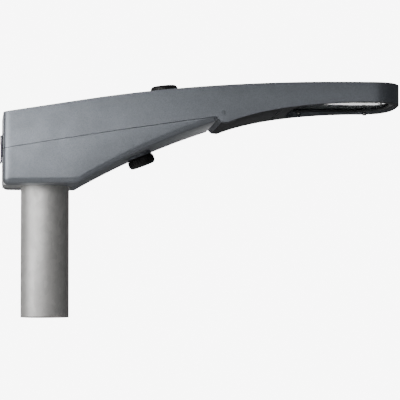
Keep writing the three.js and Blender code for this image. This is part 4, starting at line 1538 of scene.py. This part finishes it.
def paperFloor():
    clearSelection()
    bpy.ops.mesh.primitive_plane_add(size=24, location=(0, 0, studio["floorHeight"]))
    floor = bpy.context.object
    floor.name = "floor"
    paper = newFinish("paper", studio["paper"], 0.8)
    join(paper, blendColours(paper, grain(paper, 0.8, 2), (0.87, 0.87, 0.86), (0.83, 0.83, 0.82)),
         shaderOf(paper).inputs["Base Color"])
    floor.data.materials.append(paper)
    clear = addNode(paper, "ShaderNodeBsdfTransparent")
    side = addNode(paper, "ShaderNodeNewGeometry")
    oneSided = addNode(paper, "ShaderNodeMixShader")
    join(paper, side.outputs["Backfacing"], oneSided.inputs[0])
    join(paper, shaderOf(paper).outputs[0], oneSided.inputs[1])
    join(paper, clear.outputs[0], oneSided.inputs[2])
    join(paper, oneSided.outputs[0], paper.node_tree.nodes["Material Output"].inputs[0])


def softLight(name, place, aim, size, power):
    clearSelection()
    facing = (Vector(aim) - Vector(place)).to_track_quat("-Z", "Y").to_euler()
    bpy.ops.object.light_add(type="AREA", location=place, rotation=facing)
    light = bpy.context.object
    light.name = name
    light.data.shape = "RECTANGLE"
    light.data.size, light.data.size_y = size
    light.data.energy = power
    light.visible_camera = False


def studioWorld():
    world = bpy.data.worlds.new("studio")
    bpy.context.scene.world = world
    world.use_nodes = True
    sky = world.node_tree.nodes["Background"]
    sky.inputs["Color"].default_value = (0.95, 0.97, 1.0, 1)
    sky.inputs["Strength"].default_value = studio["skyStrength"]
    seen = world.node_tree.nodes.new("ShaderNodeBackground")
    seen.inputs["Color"].default_value = (1, 1, 1, 1)
    seen.inputs["Strength"].default_value = studio["backdropStrength"]
    path = world.node_tree.nodes.new("ShaderNodeLightPath")
    mixed = world.node_tree.nodes.new("ShaderNodeMixShader")
    link = world.node_tree.links.new
    link(path.outputs["Is Camera Ray"], mixed.inputs[0])
    link(sky.outputs[0], mixed.inputs[1])
    link(seen.outputs[0], mixed.inputs[2])
    link(mixed.outputs[0], world.node_tree.nodes["World Output"].inputs[0])


def lampCamera():
    clearSelection()
    place, aim = Vector(studio["camera"]), Vector(studio["aim"])
    facing = (aim - place).to_track_quat("-Z", "Y").to_euler()
    bpy.ops.object.camera_add(location=place, rotation=facing)
    camera = bpy.context.object
    camera.data.lens = studio["lens"]
    camera.data.sensor_width = studio["sensor"]
    bpy.context.scene.camera = camera


paperFloor()
# each light: name, place, aim, size, power
softLight("front_card", (-1.12, -1.18, 0.42), (0.1, 0, 0.30), (2.5, 0.5), 28)
softLight("fill_card", (0.9, -2.6, 0.4), (0.35, 0, 0.33), (1.0, 0.5), 1.6)
softLight("pole_light", (-1.0, -0.45, -0.08), (0, 0, 0.12), (0.4, 0.4), 3.2)
softLight("back_card", (-1.2, 2.6, 0.9), (0.1, 0, 0.30), (1.2, 0.8), 12)
softLight("rear_card", (0.66, 1.5, 0.20), (0.47, 0, 0.34), (0.5, 0.18), 0.6)
softLight("sky", (0.3, 0.6, 1.9), (0.25, 0, 0.3), (1.6, 1.6), 1.5)
studioWorld()
lampCamera()
clearSelection()
